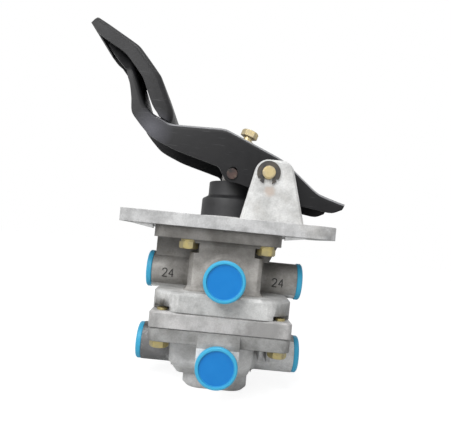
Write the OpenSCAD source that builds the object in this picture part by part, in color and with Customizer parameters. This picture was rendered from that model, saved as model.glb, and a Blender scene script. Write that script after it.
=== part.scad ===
// Truck foot brake valve: a treadle pedal on a cast bracket over a two-circuit valve.
// Millimetres. The origin is on the valve axis, at the underside of the mounting plate.
// +X runs along the plate to the pedal's tail, +Y away from the viewer, +Z up.

/* [Mounting plate] */
// Length of the plate along X
plate_l = 170; // [150:1:200]
// Width of the plate beyond the lugs' outer faces
plate_side = 3; // [2:0.5:8]
// Thickness of the plate
plate_t = 10; // [8:0.5:14]
// Corner radius at the tail end
plate_tail_r = 18; // [8:1:22]
// Corner radius at the pedal end
plate_head_r = 5; // [3:1:14]
// Diameter of the four mounting holes
mount_hole_d = 9; // [6:0.5:11]
// Distance of the mounting holes from the plate's ends
mount_in_x = 14; // [10:0.5:17]
// Distance of the mounting holes from the plate's long edges
mount_in_y = 12; // [9:0.5:17]
// Depth of the casting ribs below the plate where they meet the valve
rib_h = 3.5; // [1:0.5:6]

/* [Pivot lugs] */
// Distance of the pedal's pivot from the valve axis
pivot_x = 26; // [24:0.5:28]
// Height of the pedal's pivot above the mounting face
pivot_z = 47; // [46:0.5:48]
// Gap between the pedal arm and each lug
arm_side_gap = 2; // [1.6:0.1:3]
// Thickness of one lug
lug_t = 12; // [9:0.5:12.5]
// Radius of the lug's two top corners
lug_top_r = 10.6; // [9.5:0.1:12]
// Distance between the centres of those two corners
lug_top_l = 9.5; // [4:0.5:14]
// Where the lug's foot starts along X
lug_foot_x0 = 7; // [2:1:10]
// Where the lug's foot ends along X
lug_foot_x1 = 57; // [52:1:60]
// Width of the edge rounding on the lugs' outer faces
lug_edge = 1.8; // [0.8:0.2:2.4]

/* [Pivot pin] */
// Diameter of the pivot pin
pin_d = 10; // [8:0.5:10.5]
// Length of the pin beyond each lug
pin_end = 4; // [3:0.5:6]
// Outer diameter of the retaining clips
clip_d = 18; // [16:0.5:20]
// Thickness of the retaining clips
clip_t = 1.2; // [0.8:0.1:1.6]

/* [Pedal arm] */
// Width of the pedal arm over its side walls
arm_w = 66; // [62:0.5:67]
// Sheet thickness of the pedal arm
arm_wall = 3; // [2:0.25:3.5]
// Outer radius of the fold between web and side walls
arm_fold_r = 4.5; // [4:0.25:5.5]
// Outer diameter of the tube that carries the pivot bushes
tube_d = 15; // [14.5:0.5:15.5]
// Outer diameter of the pivot bushes
bush_d = 12; // [11.5:0.25:13]
// Length of one pivot bush inside the tube
bush_l = 14; // [8:1:24]

/* [Pedal pad] */
// Sheet thickness of the pedal pad
pad_wall = 2.5; // [1.5:0.25:3]
// Outer radius of the fold round the pad
pad_fold_r = 5; // [4:0.25:6]

/* [Roller and adjusting screw] */
// Distance of the roller pin in front of the valve axis
roller_x = -1.9; // [-3:0.1:-1]
// Height of the roller pin above the mounting face
roller_z = 45.6; // [45:0.1:46.5]
// Diameter of the roller
roller_d = 16; // [14:0.5:17]
// Width of the roller
roller_w = 22; // [16:1:24]
// Diameter of the roller pin
cross_pin_d = 7; // [6:0.5:7.5]
// Sheet thickness of the roller fork
fork_wall = 2.5; // [2:0.25:3]
// Lean of the adjusting screw from the vertical, in degrees
screw_lean = 17; // [15:1:20]
// Thread diameter of the adjusting screw
screw_d = 8; // [6:0.5:8]
// Width across flats of the adjusting screw and its lock nut
screw_af = 13; // [11:0.5:14]
// Height of the adjusting screw's head
screw_head_h = 5.5; // [4:0.5:7]
// Shank left free between the lock nut and the head
screw_free = 3.8; // [2:0.2:6]
// Thickness of the lock nut
lock_nut_h = 4; // [3:0.5:5]

/* [Plunger and boot] */
// Diameter of the plunger's head
plunger_head_d = 36.4; // [34:0.2:37]
// Thickness of the plunger's head
plunger_head_t = 4; // [3:0.5:5]
// Diameter of the plunger's tube
plunger_d = 26; // [24:0.5:27]
// Bore of the plunger's tube
plunger_bore = 20; // [19.5:0.25:21]
// Outer diameter of the guide bush
guide_bush_d = 30.4; // [29:0.2:31]
// Outer diameter of the bracket's collar round the guide bush
collar_d = 37; // [35:0.5:39]
// Height of the collar above the plate
collar_h = 14; // [10:0.5:14.5]
// Outer diameter of the boot at its foot
boot_foot_d = 52.6; // [50:0.2:54]
// Outer diameter of the boot's upper part
boot_top_d = 40.8; // [40:0.2:42]
// Wall thickness of the boot
boot_wall = 1.8; // [1.2:0.1:2]
// Height of the boot's wide lower part
boot_low_h = 17; // [14:0.5:18]
// Full height of the boot above the plate
boot_h = 31.6; // [30:0.2:31.8]

/* [Valve housing] */
// Side of the square flanges
flange_w = 109; // [102:1:116]
// Thickness of the top flange under the plate
top_flange_t = 9.5; // [8:0.5:12]
// Distance of the top flange from the plate's long edges
top_flange_in = 4; // [2:0.5:5]
// Room between the mounting holes' axes and the top flange
mount_room = 13; // [10:0.5:16]
// Reach of the top flange towards the tail end
top_flange_x1 = 43; // [41:1:46]
// Depth of the upper body's bottom flange below the mounting face, to its top
ledge_top = 49.5; // [48:0.5:51]
// Thickness of the upper body's bottom flange
ledge_t = 15.5; // [13:0.5:16]
// Thickness of the middle plate
middle_t = 12.5; // [12:0.5:16]
// Thickness of the lower body's flange
low_flange_t = 10.5; // [9:0.5:12]
// Height of the lower body's block below its flange
low_block_h = 30; // [29:0.5:32]
// Length of the exhaust neck
neck_h = 13; // [11:0.5:15]
// Width of the exhaust neck along X
neck_l = 54; // [52:0.5:57]
// Depth of the exhaust neck across Y
neck_w = 50; // [49:0.5:54]
// Front-to-back size of the upper block
block_w = 84; // [80:1:88]
// Width of the upper block
block_up_l = 58; // [56:1:60]

/* [Ports] */
// Depth of the upper ports' axes below the mounting face
port_up = 38; // [37:0.5:38.5]
// Depth of the lower ports' axes below the lower flange joint
port_low = 23.5; // [23:0.5:24.5]
// Outer diameter of the port bosses
boss_d = 30; // [28:0.5:31]
// Diameter of the tapped port bores
port_d = 20; // [18:0.5:20.5]
// Depth of the tapped port bores
port_depth = 16; // [12:0.5:17]
// Reach of the upper side bosses beyond the flanges
boss_up_proud = 7; // [5.5:0.5:9.5]
// Reach of the lower side bosses beyond the flanges
boss_low_proud = 10; // [7.5:0.5:11.5]
// Reach of the front bosses beyond the flanges
boss_front_proud = 7; // [5.5:0.5:9.5]
// Diameter of the drilled passages behind the ports
passage_d = 9; // [7:0.5:9.5]
// Outer diameter of the protective caps
cap_d = 31.4; // [30:0.2:33]
// Thickness of the protective caps' discs
cap_t = 4.5; // [3:0.25:6]

/* [Valve inside] */
// Bore for the graduating piston
piston_bore = 48; // [46:0.5:50]
// Bore of both supply chambers
chamber_bore = 34; // [33:0.5:36]
// Wall between the relay piston's bore and the flanges' sides
relay_wall = 16.5; // [15.5:0.5:17.5]
// Diameter of both valve seats
seat_d = 20; // [19:0.5:21]
// Diameter of both valve discs
valve_disc_d = 26; // [25:0.5:28]
// Diameter of both valve stems
valve_stem_d = 13; // [12:0.5:13.5]
// Bore through both valve stems
valve_vent_d = 8.4; // [7:0.2:9]
// Running clearance of every sliding fit, on the radius
slide_gap = 0.06; // [0.03:0.01:0.1]

/* [Fasteners] */
// Thread diameter of the bracket bolts
bracket_bolt_d = 8; // [6:0.5:8]
// Width across flats of the bracket bolts
bracket_bolt_af = 13; // [11:0.5:14]
// Thread diameter of the long body bolts
body_bolt_d = 8; // [6:0.5:8]
// Width across flats of the body bolts
body_bolt_af = 13; // [11:0.5:13]
// Distance of the body bolts from the flanges' sides
body_bolt_edge = 9; // [8.5:0.5:10]
// Thread diameter of the socket screws in the middle plate
plate_screw_d = 6; // [5:0.5:6]

/* [Hidden] */

// Overrun of cutters past the face they open, and of added solids into their neighbour
cut = 1;
bite = 0.5;
// Thickness of the thin slices that hulls join
skin = 0.01;
// Gap between parts that rest on each other, and between parts that only pass
rest_gap = 0.1;
side_gap = 0.3;

// Colours of the finishes
cast_pale = [0.82, 0.82, 0.80];
cast_body = [0.60, 0.57, 0.54];
cast_plate = [0.72, 0.71, 0.69];
black_paint = [0.19, 0.19, 0.21];
black_rubber = [0.14, 0.14, 0.15];
zinc_yellow = [0.83, 0.73, 0.42];
steel = [0.68, 0.68, 0.70];
dark_steel = [0.22, 0.24, 0.22];
cap_blue = [0.06, 0.52, 0.86];
brass = [0.80, 0.66, 0.36];

// Levels of the housing, all below the mounting face
z_ledge = -ledge_top;
z_joint_up = z_ledge - ledge_t;
z_joint_low = z_joint_up - middle_t;
z_flange_low = z_joint_low - low_flange_t;
z_block_low = z_flange_low - low_block_h;
z_neck = z_block_low - neck_h;
z_port_up = -port_up;
z_port_low = z_joint_low - port_low;

// What follows the housing's flanges: bolts, the block of the lower body, bores and bosses
body_bolt_at = flange_w / 2 - body_bolt_edge;
bolt_room = 7.5;
rib_room = 15.5;
front_room = 5.5;
relay_ledge = 7.5;
spring_ledge = 6.5;
block_low_x0 = body_bolt_at - bolt_room;
block_low_x1 = body_bolt_at - rib_room;
block_low_y = body_bolt_at - front_room;
relay_bore = flange_w - 2 * relay_wall;
relay_step_d = relay_bore - 2 * relay_ledge;
low_chamber_d = relay_step_d - 2 * spring_ledge;
boss_up_reach = flange_w / 2 + boss_up_proud;
boss_low_reach = flange_w / 2 + boss_low_proud;
boss_front_reach = flange_w / 2 + boss_front_proud;

// The lugs follow the pedal arm, and the plate and the top flange follow the lugs
lug_gap = arm_w + 2 * arm_side_gap;
lug_out = lug_gap / 2 + lug_t;
plate_w = 2 * (lug_out + plate_side);
top_flange_w = plate_w - 2 * top_flange_in;
top_flange_x0 = plate_l / 2 - mount_in_x - mount_room;

// Places of the pedal's pivot and roller in the XZ plane
pivot = [pivot_x, pivot_z];
roller_at = [roller_x, roller_z];
flange_r = 8;
flange_edge = 1.5;
ledge_r = 25;
ledge_edge = 2.5;
middle_corner_r = 5;

// A prism across Y from an outline in the XZ plane
module across(y0, y1) {
    translate([0, y1, 0]) rotate([90, 0, 0]) linear_extrude(y1 - y0) children();
}

// A round bar across Y through a point of the XZ plane
module bar_y(at, d, y0, y1, fn = 48) {
    translate([at[0], y1, at[1]]) rotate([90, 0, 0]) cylinder(d = d, h = y1 - y0, $fn = fn);
}

// A round bar along X from x0 to x1 at a height on the valve axis
module bar_x(z, d, x0, x1, fn = 48) {
    translate([x0, 0, z]) rotate([0, 90, 0]) cylinder(d = d, h = x1 - x0, $fn = fn);
}

// A round disc or hole on a vertical axis
module disc(d, z0, z1, fn = 64) {
    translate([0, 0, z0]) cylinder(d = d, h = z1 - z0, $fn = fn);
}

// A ring on the valve axis
module ring(d_out, d_in, z0, z1, fn = 64) {
    difference() {
        disc(d_out, z0, z1, fn);
        disc(d_in, z0 - cut, z1 + cut, fn);
    }
}

// A hexagonal prism by its width across flats
module hex(af, z0, z1) {
    translate([0, 0, z0]) cylinder(d = af / cos(30), h = z1 - z0, $fn = 6);
}

// A rectangle with a round at each corner, radii from the lower left counter-clockwise
module round_rect(x0, x1, y0, y1, radii) {
    at = [[x0, y0, 1, 1], [x1, y0, -1, 1], [x1, y1, -1, -1], [x0, y1, 1, -1]];
    difference() {
        translate([x0, y0]) square([x1 - x0, y1 - y0]);
        for (i = [0:3]) {
            translate([at[i][0], at[i][1]]) at_corner(at[i][2], at[i][3]) corner_waste(radii[i]);
        }
    }
}

// Turns the corner cutter into one of the four quarters
module at_corner(sx, sy) {
    mirror([sx < 0 ? 1 : 0, 0]) mirror([0, sy < 0 ? 1 : 0]) children();
}

// What a corner of radius r loses
module corner_waste(r) {
    difference() {
        translate([-cut, -cut]) square([r + cut, r + cut]);
        translate([r, r]) circle(r = r, $fn = 40);
    }
}

// The square outline that the three housing flanges share
module flange_outline(r, inset = 0) {
    h = flange_w / 2 - inset;
    round_rect(-h, h, -h, h, [r, r, r, r]);
}

// The four places of the body bolts
module at_body_bolts() {
    for (sx = [-1, 1], sy = [-1, 1]) {
        translate([sx * body_bolt_at, sy * body_bolt_at, 0]) children();
    }
}

// Turns a thing that stands on +Z into one that stands out of the part along +X, -X or -Y
module facing(side) {
    if (side == "right") {
        rotate([0, 90, 0]) children();
    } else if (side == "left") {
        rotate([0, -90, 0]) children();
    } else {
        rotate([90, 0, 0]) children();
    }
}

// Tapped bore with its chamfer, seen from the boss's face at the given reach
module port_bore(side, z, reach) {
    chamfer = 1;
    translate([0, 0, z]) facing(side) {
        translate([0, 0, reach - port_depth]) cylinder(d = port_d, h = port_depth + cut, $fn = 48);
        translate([0, 0, reach - chamfer])
            cylinder(d1 = port_d, d2 = port_d + 4 * chamfer, h = 2 * chamfer, $fn = 48);
    }
}

// Drilled passage from a port's bore to a chamber of radius r, off the port's axis so that
// supply ports lead below the valve seat and delivery ports above it
passage_off = 5;
passage_in = 3;

module passage(side, z, reach, r) {
    translate([0, 0, z]) facing(side) translate([0, 0, r - passage_in])
        cylinder(d = passage_d, h = reach - port_depth - r + passage_in + cut, $fn = 32);
}

// Mounting bracket: the rim that locates the boot and the ribs under the plate
rim_t = 2.4;
rim_h = 1.6;
rib_t = 5;
rib_edge = 4;

// Angle, seen from a circle's centre c, at which a line from point p touches the circle
function touch_angle(p, c, r, side) =
    let (d = c - p) atan2(d[1], d[0]) - side * (90 + asin(r / norm(d)));

// Points of an arc between two angles
arc_steps = 10;
half_turn = 180;

function arc(c, r, from, to) =
    [for (i = [0:arc_steps]) let (a = from + (to - from) * i / arc_steps) c + r * [cos(a), sin(a)]];

// Outline of a lug in the XZ plane, drawn smaller by an inset
function lug_points(inset) =
    let (r = lug_top_r - inset, left = [pivot_x, pivot_z], right = left + [lug_top_l, 0])
    let (foot_l = [lug_foot_x0 + inset, plate_t - cut], foot_r = [lug_foot_x1 - inset, plate_t - cut])
    concat(
        [foot_l, foot_r],
        arc(right, r, touch_angle(foot_r, right, r, 1), 90),
        arc(left, r, 90, touch_angle(foot_l, left, r, -1))
    );

// One lug with a bevel round both faces, from its far face to its near one
module lug(side) {
    y0 = side < 0 ? -lug_out : lug_gap / 2;
    loft([for (e = [[lug_t, lug_edge], [lug_t - lug_edge, 0], [lug_edge, 0], [0, lug_edge]])
        [for (q = lug_points(e[1])) [q[0], y0 + e[0], q[1]]]]);
}

module plate_rib(x_tip, x_body) {
    for (sy = [-1, 1]) {
        y_mid = sy * (plate_w / 2 - rib_edge);
        across(y_mid - rib_t / 2, y_mid + rib_t / 2)
            polygon([[x_tip, 0], [x_tip, cut], [x_body, cut], [x_body, -rib_h]]);
    }
}

module mounting_bracket() color(cast_pale) {
    tap_end = plate_t - 2;
    difference() {
        union() {
            linear_extrude(plate_t) round_rect(
                -plate_l / 2, plate_l / 2, -plate_w / 2, plate_w / 2,
                [plate_head_r, plate_tail_r, plate_tail_r, plate_head_r]
            );
            lug(-1);
            lug(1);
            disc(collar_d, plate_t - cut, plate_t + collar_h);
            ring(boot_foot_d + 2 * (side_gap + rim_t), boot_foot_d + 2 * side_gap,
                plate_t - bite, plate_t + rim_h);
            plate_rib(-plate_l / 2 + plate_head_r, -top_flange_x0 - side_gap);
            plate_rib(plate_l / 2 - plate_tail_r, top_flange_x1 + side_gap);
        }
        disc(guide_bush_d, -cut, plate_t + collar_h + cut);
        bar_y(pivot, pin_d, -lug_out - cut, lug_out + cut, 64);
        for (sx = [-1, 1], sy = [-1, 1]) {
            translate([sx * (plate_l / 2 - mount_in_x), sy * (plate_w / 2 - mount_in_y), 0])
                disc(mount_hole_d, -cut, plate_t + cut, 48);
            translate([sx * bracket_bolt_x, sy * bracket_bolt_y, 0])
                disc(bracket_bolt_d, -cut, tap_end, 48);
        }
    }
}

// Pivot pin, with a groove for a clip near each end
pin_half = lug_out + pin_end;
clip_y = lug_out + side_gap;
groove_d = pin_d - 2;
groove_slack = 0.1;

module pivot_pin() color(zinc_yellow) {
    chamfer = 0.8;
    difference() {
        union() {
            bar_y(pivot, pin_d, -pin_half + chamfer, pin_half - chamfer, 64);
            bar_y(pivot, pin_d - 2 * chamfer, -pin_half, pin_half, 64);
        }
        for (s = [-1, 1]) {
            y_mid = s * (clip_y + clip_t / 2);
            translate([pivot_x, y_mid, pivot_z]) rotate([90, 0, 0])
                translate([0, 0, -clip_t / 2 - groove_slack])
                ring(pin_d + 2, groove_d, 0, clip_t + 2 * groove_slack);
        }
    }
}

// Open retaining ring with its mouth downwards
module pivot_clip(side) {
    mouth = groove_d * 0.8;
    eye_at = [clip_d * 0.37, -clip_d * 0.30];
    y0 = side < 0 ? -clip_y - clip_t : clip_y;
    across(y0, y0 + clip_t) difference() {
        translate(pivot) circle(d = clip_d, $fn = 64);
        translate(pivot) circle(d = groove_d + groove_slack, $fn = 64);
        translate(pivot - [mouth / 2, clip_d]) square([mouth, clip_d]);
        for (s = [-1, 1]) {
            translate(pivot + [s * eye_at[0], eye_at[1]]) circle(d = 2, $fn = 24);
        }
    }
}

module pivot_clip_near() color(dark_steel) pivot_clip(-1);
module pivot_clip_far() color(dark_steel) pivot_clip(1);

// Folded sheet: closed outline of a channel section, from its web point p and the lower
// edge q in the XZ plane, with half width h, fold radius r and sheet thickness w
fold_steps = 4;

function channel_section(p, q, h, r, w) =
    let (depth = norm(q - p), n = (q - p) / depth, ri = r - w)
    let (outer = [for (s = [-1, 1], i = [0:fold_steps])
        let (a = 90 * (s < 0 ? i : fold_steps - i) / fold_steps)
        [s * (h - r + r * cos(a)), r - r * sin(a)]])
    let (inner = [for (s = [1, -1], i = [0:fold_steps])
        let (a = 90 * (s > 0 ? i : fold_steps - i) / fold_steps)
        [s * (h - r + ri * cos(a)), r - ri * sin(a)]])
    let (flat = concat(
        [[-h, depth]], outer, [[h, depth]], [[h - w, depth]], inner, [[-h + w, depth]]))
    [for (f = flat) [p[0] + n[0] * f[1], f[0], p[1] + n[1] * f[1]]];

// Solid between a row of sections with the same even number of points; each end is closed
// by a strip between the two halves of its section
module loft(sections) {
    n = len(sections[0]);
    m = len(sections);
    points = [for (s = sections) for (pt = s) pt];
    sides = [for (i = [0:m - 2], j = [0:n - 1])
        let (a = i * n + j, b = i * n + (j + 1) % n) each [[a, a + n, b], [b, a + n, b + n]]];
    ends = [for (e = [0, (m - 1) * n], j = [0:n / 2 - 2])
        let (a = e + j, b = e + j + 1, c = e + n - 2 - j, d = e + n - 1 - j)
        each (e == 0 ? [[a, b, c], [a, c, d]] : [[c, b, a], [d, c, a]])];
    polyhedron(points, concat(sides, ends), convexity = 10);
}

// Points of the arm's web that carry the screw boss and the pad's foot
slope_low = [32, 64.1];
slope_high = [-3, 79];
weld_a = [-55, 82];
weld_b = [-64.6, 86.2];

// Stations of the pedal arm: web point, wall's lower edge and half width, from tail to pad
arm_h = arm_w / 2;
arm_end_h = arm_h - pad_wall;
arm_path = [
    [[91, 30.3], [88.4, 25.2], arm_h],
    [[86, 31.6], [81.2, 22.2], arm_h],
    [[71, 36.3], [69, 23.4], arm_h],
    [[66.5, 38.8], [63, 24.2], arm_h],
    [[62.5, 41.9], [57.3, 24.9], arm_h],
    [[41.5, 58.8], [37, 27], arm_h],
    [[37.2, 61.6], [31, 29], arm_h],
    [slope_low, [24, 31.5], arm_h],
    [(slope_low * 3 + slope_high * 4) / 7, [11, 36.4], arm_h],
    [(slope_low + slope_high * 6) / 7, [2, 38.8], arm_h],
    [slope_high, [-4.6, 39.4], arm_h],
    [[-7, 80.6], [-8.2, 42.6], arm_h],
    [[-10.5, 81.7], [-12.8, 49.8], arm_h],
    [[-15, 82], [-17, 51.6], arm_h],
    [[-50, 81.6], [-48, 60.2], arm_h],
    [weld_a, [-57, 63.7], arm_h],
    [(weld_a + weld_b) / 2, [-65, 67.2], arm_h],
    [weld_b, [-71, 70.6], arm_h],
    [[-68.6, 89.4], [-76, 75.2], arm_h],
    [[-72.6, 94], [-81.5, 81], arm_h],
    [[-76, 99.2], [-86.4, 87.6], arm_h],
    [[-79.4, 107.4], [-88, 99], arm_h],
    [[-82.6, 115], [-90.4, 110], arm_h],
    [[-84.6, 120.4], [-92.6, 115.4], arm_h],
    [[-86.6, 124.6], [-95, 119.4], arm_end_h],
    [[-90.4, 131.4], [-99.6, 124.8], arm_end_h],
    [[-96.8, 139.4], [-106, 131.6], arm_end_h],
    [[-104.6, 145.8], [-112, 136.4], arm_end_h],
    [[-111, 149.8], [-117, 139.4], arm_end_h]
];

// Screw frame: origin at the roller pin, +Z along the adjusting screw
module at_screw() {
    translate([roller_x, 0, roller_z]) rotate([0, screw_lean, 0]) children();
}

// Distances along the screw from the roller pin: where it meets the web, the nut boss round
// it and the fork below it
slope = (slope_high[1] - slope_low[1]) / (slope_high[0] - slope_low[0]);
web_at = (slope_low[1] - roller_z + slope * (roller_x - slope_low[0]))
    / (cos(screw_lean) - slope * sin(screw_lean));
boss_r = 9;
boss_rise = 1.4;
boss_below = 4;
boss_top = web_at + boss_rise;
boss_bottom = web_at - arm_wall - boss_below;
roller_room = 2;
fork_in = roller_d / 2 + roller_room;
fork_top = fork_in + fork_wall;
fork_half = roller_w / 2 + roller_room / 2 + fork_wall;

// The roller pin's holes in the arm are slots, so that the screw can set it
slot_up = 2.4;
slot_w = cross_pin_d + 0.1;
slot_top = roller_at + slot_up * [sin(screw_lean), cos(screw_lean)];

module pedal_arm() color(black_paint) {
    difference() {
        union() {
            loft([for (s = arm_path) channel_section(s[0], s[1], s[2], arm_fold_r, arm_wall)]);
            at_screw() disc(2 * boss_r, boss_bottom, boss_top, 48);
        }
        at_screw() disc(screw_d, boss_bottom - cut, boss_top + cut, 48);
        bar_y(pivot, tube_d, -arm_h - cut, arm_h + cut, 64);
        across(-arm_h - cut, arm_h + cut) polygon(concat(
            arc(roller_at, slot_w / 2, half_turn - screw_lean, 2 * half_turn - screw_lean),
            arc(slot_top, slot_w / 2, -screw_lean, half_turn - screw_lean)
        ));
    }
}

// Stations of the pad: tread point and the flange's back edge, from the bottom up
pad_path = [
    [weld_a, weld_b],
    [[-53.6, 86.4], [-66.8, 89.4]],
    [[-53.6, 89.6], [-68.6, 91.6]],
    [[-54.4, 93.2], [-70.6, 94.6]],
    [[-57, 99.4], [-73.8, 101.2]],
    [[-62.2, 110.5], [-77, 109.6]],
    [[-68.4, 120.8], [-81.2, 117.4]],
    [[-76, 130.4], [-87, 124.8]],
    [[-83.8, 139], [-92.6, 131.4]],
    [[-88.6, 143.8], [-96.6, 134.8]],
    [[-95, 148.5], [-101.2, 138.6]],
    [[-102.5, 153.1], [-107.6, 142.8]],
    [[-112, 158.2], [-118, 148]],
    [[-120.3, 161.5], [-125.4, 155.2]]
];

module pedal_pad() color(black_paint) {
    last = len(pad_path) - 1;
    top = pad_path[last];
    below = pad_path[last - 1];
    along = (below[0] - top[0]) / norm(below[0] - top[0]);
    back = (top[1] - top[0]) / norm(top[1] - top[0]);
    sink = pad_wall / 2;
    loft([for (s = pad_path) channel_section(s[0], s[1], arm_h, pad_fold_r, pad_wall)]);
    across(-arm_h + sink, arm_h - sink) polygon([
        top[0] + back * sink, top[1], top[1] + along * pad_wall,
        top[0] + back * sink + along * pad_wall
    ]);
}

module pivot_tube() color(black_paint) {
    difference() {
        bar_y(pivot, tube_d, -arm_h, arm_h, 64);
        bar_y(pivot, bush_d, -arm_h - cut, arm_h + cut, 64);
    }
}

// Two flanged bushes that carry the pedal on its pin
module pivot_bushes() color(brass) {
    flange_t = arm_side_gap - side_gap;
    flange_d = tube_d + 1;
    for (s = [-1, 1]) {
        mirror([0, s < 0 ? 1 : 0, 0]) difference() {
            union() {
                bar_y(pivot, bush_d, arm_h - bush_l, arm_h + flange_t / 2, 64);
                bar_y(pivot, flange_d, arm_h, arm_h + flange_t, 64);
            }
            bar_y(pivot, pin_d + 2 * slide_gap, 0, arm_h + flange_t + cut, 64);
        }
    }
}

// Roller pin, with peened ends outside the pedal's walls
module cross_pin() color(steel) {
    head_t = 1.2;
    head_d = cross_pin_d + 1.6;
    bar_y(roller_at, cross_pin_d, -arm_h - head_t, arm_h + head_t);
    for (y0 = [-arm_h - head_t, arm_h]) {
        bar_y(roller_at, head_d, y0, y0 + head_t);
    }
}

// Folded fork that holds the roller and takes the screw's push
module roller_fork() color(steel) {
    cheek_r = cross_pin_d / 2 + 3;
    difference() {
        at_screw() union() {
            for (s = [-1, 1]) {
                y0 = s < 0 ? -fork_half : fork_half - fork_wall;
                translate([0, y0 + fork_wall, 0]) rotate([90, 0, 0])
                    cylinder(r = cheek_r, h = fork_wall, $fn = 48);
                translate([-cheek_r, y0, 0]) cube([2 * cheek_r, fork_wall, fork_top]);
            }
            translate([-cheek_r, -fork_half, fork_in])
                cube([2 * cheek_r, 2 * fork_half, fork_wall]);
        }
        bar_y(roller_at, cross_pin_d, -fork_half - cut, fork_half + cut);
    }
}

module pressure_roller() color(steel) {
    chamfer = 1;
    difference() {
        union() {
            bar_y(roller_at, roller_d, -roller_w / 2 + chamfer, roller_w / 2 - chamfer, 64);
            bar_y(roller_at, roller_d - 2 * chamfer, -roller_w / 2, roller_w / 2, 64);
        }
        bar_y(roller_at, cross_pin_d + 2 * slide_gap, -roller_w, roller_w);
    }
}

module adjusting_screw() color(zinc_yellow) {
    head_from = boss_top + lock_nut_h + screw_free;
    at_screw() {
        disc(screw_d, fork_top, head_from, 48);
        hex(screw_af, head_from, head_from + screw_head_h);
    }
}

module adjusting_lock_nut() color(zinc_yellow) {
    at_screw() difference() {
        hex(screw_af, boss_top, boss_top + lock_nut_h);
        disc(screw_d, boss_top - cut, boss_top + lock_nut_h + cut, 48);
    }
}

// Plunger heights follow from the roller
plunger_top = roller_z - roller_d / 2 - rest_gap;
plunger_under = plunger_top - plunger_head_t;
plunger_roof = plunger_under - 2;
plunger_foot = -4;
bush_lip = 1.2;

module plunger() color(steel) {
    difference() {
        union() {
            disc(plunger_head_d, plunger_under, plunger_top, 96);
            disc(plunger_d, plunger_foot, plunger_under + cut, 96);
        }
        disc(plunger_bore, plunger_foot - cut, plunger_roof, 96);
    }
}

module plunger_guide_bush() color(brass) {
    collar_top = plate_t + collar_h;
    difference() {
        union() {
            disc(guide_bush_d, 0, collar_top + bush_lip / 2, 96);
            disc(collar_d - 2, collar_top, collar_top + bush_lip, 96);
        }
        disc(plunger_d + 2 * slide_gap, -cut, collar_top + bush_lip + cut, 96);
    }
}

// Rubber boot: wide foot on the plate, narrow top over the plunger's head
module dust_boot() color(black_rubber) {
    r_foot = boot_foot_d / 2;
    r_top = boot_top_d / 2;
    z0 = plate_t;
    z1 = plate_t + boot_low_h;
    z2 = z1 + 3;
    z3 = plate_t + boot_h;
    w = boot_wall;
    lip_in = r_top - w - 2.2;
    lip_z = plunger_top + 0.5;
    rotate_extrude($fn = 96) polygon([
        [r_foot, z0], [r_foot, z0 + 1.6], [r_foot - 0.5, z0 + 2], [r_foot - 0.9, z1 - 0.6],
        [r_foot - 1.4, z1], [r_top + 0.5, z2 - 0.4], [r_top, z2], [r_top, z3 - 0.8],
        [r_top - 0.5, z3], [r_top - w, z3], [r_top - w, lip_z + 1.6], [lip_in, lip_z + 1.4],
        [lip_in, lip_z], [r_top - w, lip_z], [r_top - w, z2 - 1], [r_foot - w - 1.4, z1 - 2],
        [r_foot - w - 0.9, z0 + 2.4], [r_foot - w - 2.4, z0 + 1.8], [r_foot - w - 2.4, z0]
    ]);
}

// Wire coil between two heights, as a swept ring of points
coil_sides = 8;
coil_steps = 14;

module coil(mean_d, wire, z0, z1, turns) {
    rings = floor(turns * coil_steps);
    rise = z1 - z0 - wire;
    sections = [for (i = [0:rings])
        let (a = 360 * i / coil_steps, z = z0 + wire / 2 + rise * i / rings)
        [for (j = [0:coil_sides - 1])
            let (b = -360 * j / coil_sides, r = mean_d / 2 + wire / 2 * cos(b))
            [r * cos(a), r * sin(a), z + wire / 2 * sin(b)]]];
    loft(sections);
}

// Graduating piston: crown, skirt groove and a stem that opens the upper valve
piston_top = -15;
piston_h = 10;
piston_d = piston_bore - 2 * slide_gap;
piston_groove_deep = 3;
spring_cup = 1.5;
seat_web = 3.5;
seat_lip = 0.5;
seat_rim = 2;
web_up = -35;
seat_up = web_up - seat_web - seat_lip;
valve_gap = 1.7;
stem_d = 14;
spring_step = 0.05;
graduating_wire = 2.6;
return_spring_in = 8;

module graduating_spring() color(dark_steel)
    coil(plunger_bore - graduating_wire - 2 * side_gap, graduating_wire,
        piston_top - spring_cup + spring_step, plunger_roof - spring_step, 7);

module graduating_piston() color(cast_plate) {
    groove_z = piston_top - piston_h / 2;
    groove_h = 3.2;
    difference() {
        union() {
            disc(piston_d, piston_top - piston_h, piston_top, 96);
            disc(stem_d, seat_up + valve_gap, piston_top - cut, 64);
        }
        disc(plunger_bore, piston_top - spring_cup, piston_top + cut, 96);
        ring(piston_bore + cut, piston_bore - 2 * piston_groove_deep,
            groove_z - groove_h / 2, groove_z + groove_h / 2, 96);
    }
}

// A rubber ring of round section, centred at a height
module o_ring(mean_d, section, z) {
    translate([0, 0, z]) rotate_extrude($fn = 72)
        translate([mean_d / 2, 0]) circle(d = section, $fn = 20);
}

module piston_seal() color(black_rubber) {
    section = 2.7;
    o_ring(piston_bore - section - 2 * rest_gap, section, piston_top - piston_h / 2);
}

module piston_return_spring() color(dark_steel)
    coil(piston_bore - 2 * return_spring_in, 1.9, web_up + spring_step,
        piston_top - piston_h - spring_step, 2.6);

// A valve: disc that shuts the seat above it, on a hollow stem
valve_disc_t = 4.5;

module valve_head(z_top, z_end) {
    difference() {
        union() {
            disc(valve_disc_d, z_top - valve_disc_t, z_top);
            disc(valve_stem_d, z_end, z_top - 1);
        }
        disc(valve_vent_d, z_end - cut, z_top + cut, 48);
    }
}

// Guide plug that centres a valve stem in a chamber's bore
guide_t = 6;
guide_clip_t = 1.4;

module valve_guide(z_top) {
    difference() {
        disc(chamber_bore, z_top - guide_t, z_top, 96);
        disc(valve_stem_d + 2 * slide_gap, z_top - guide_t - cut, z_top + cut);
        ring(chamber_bore - 6, valve_stem_d + 5, z_top - guide_t - cut, z_top - guide_t + 2.5);
    }
}

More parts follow.
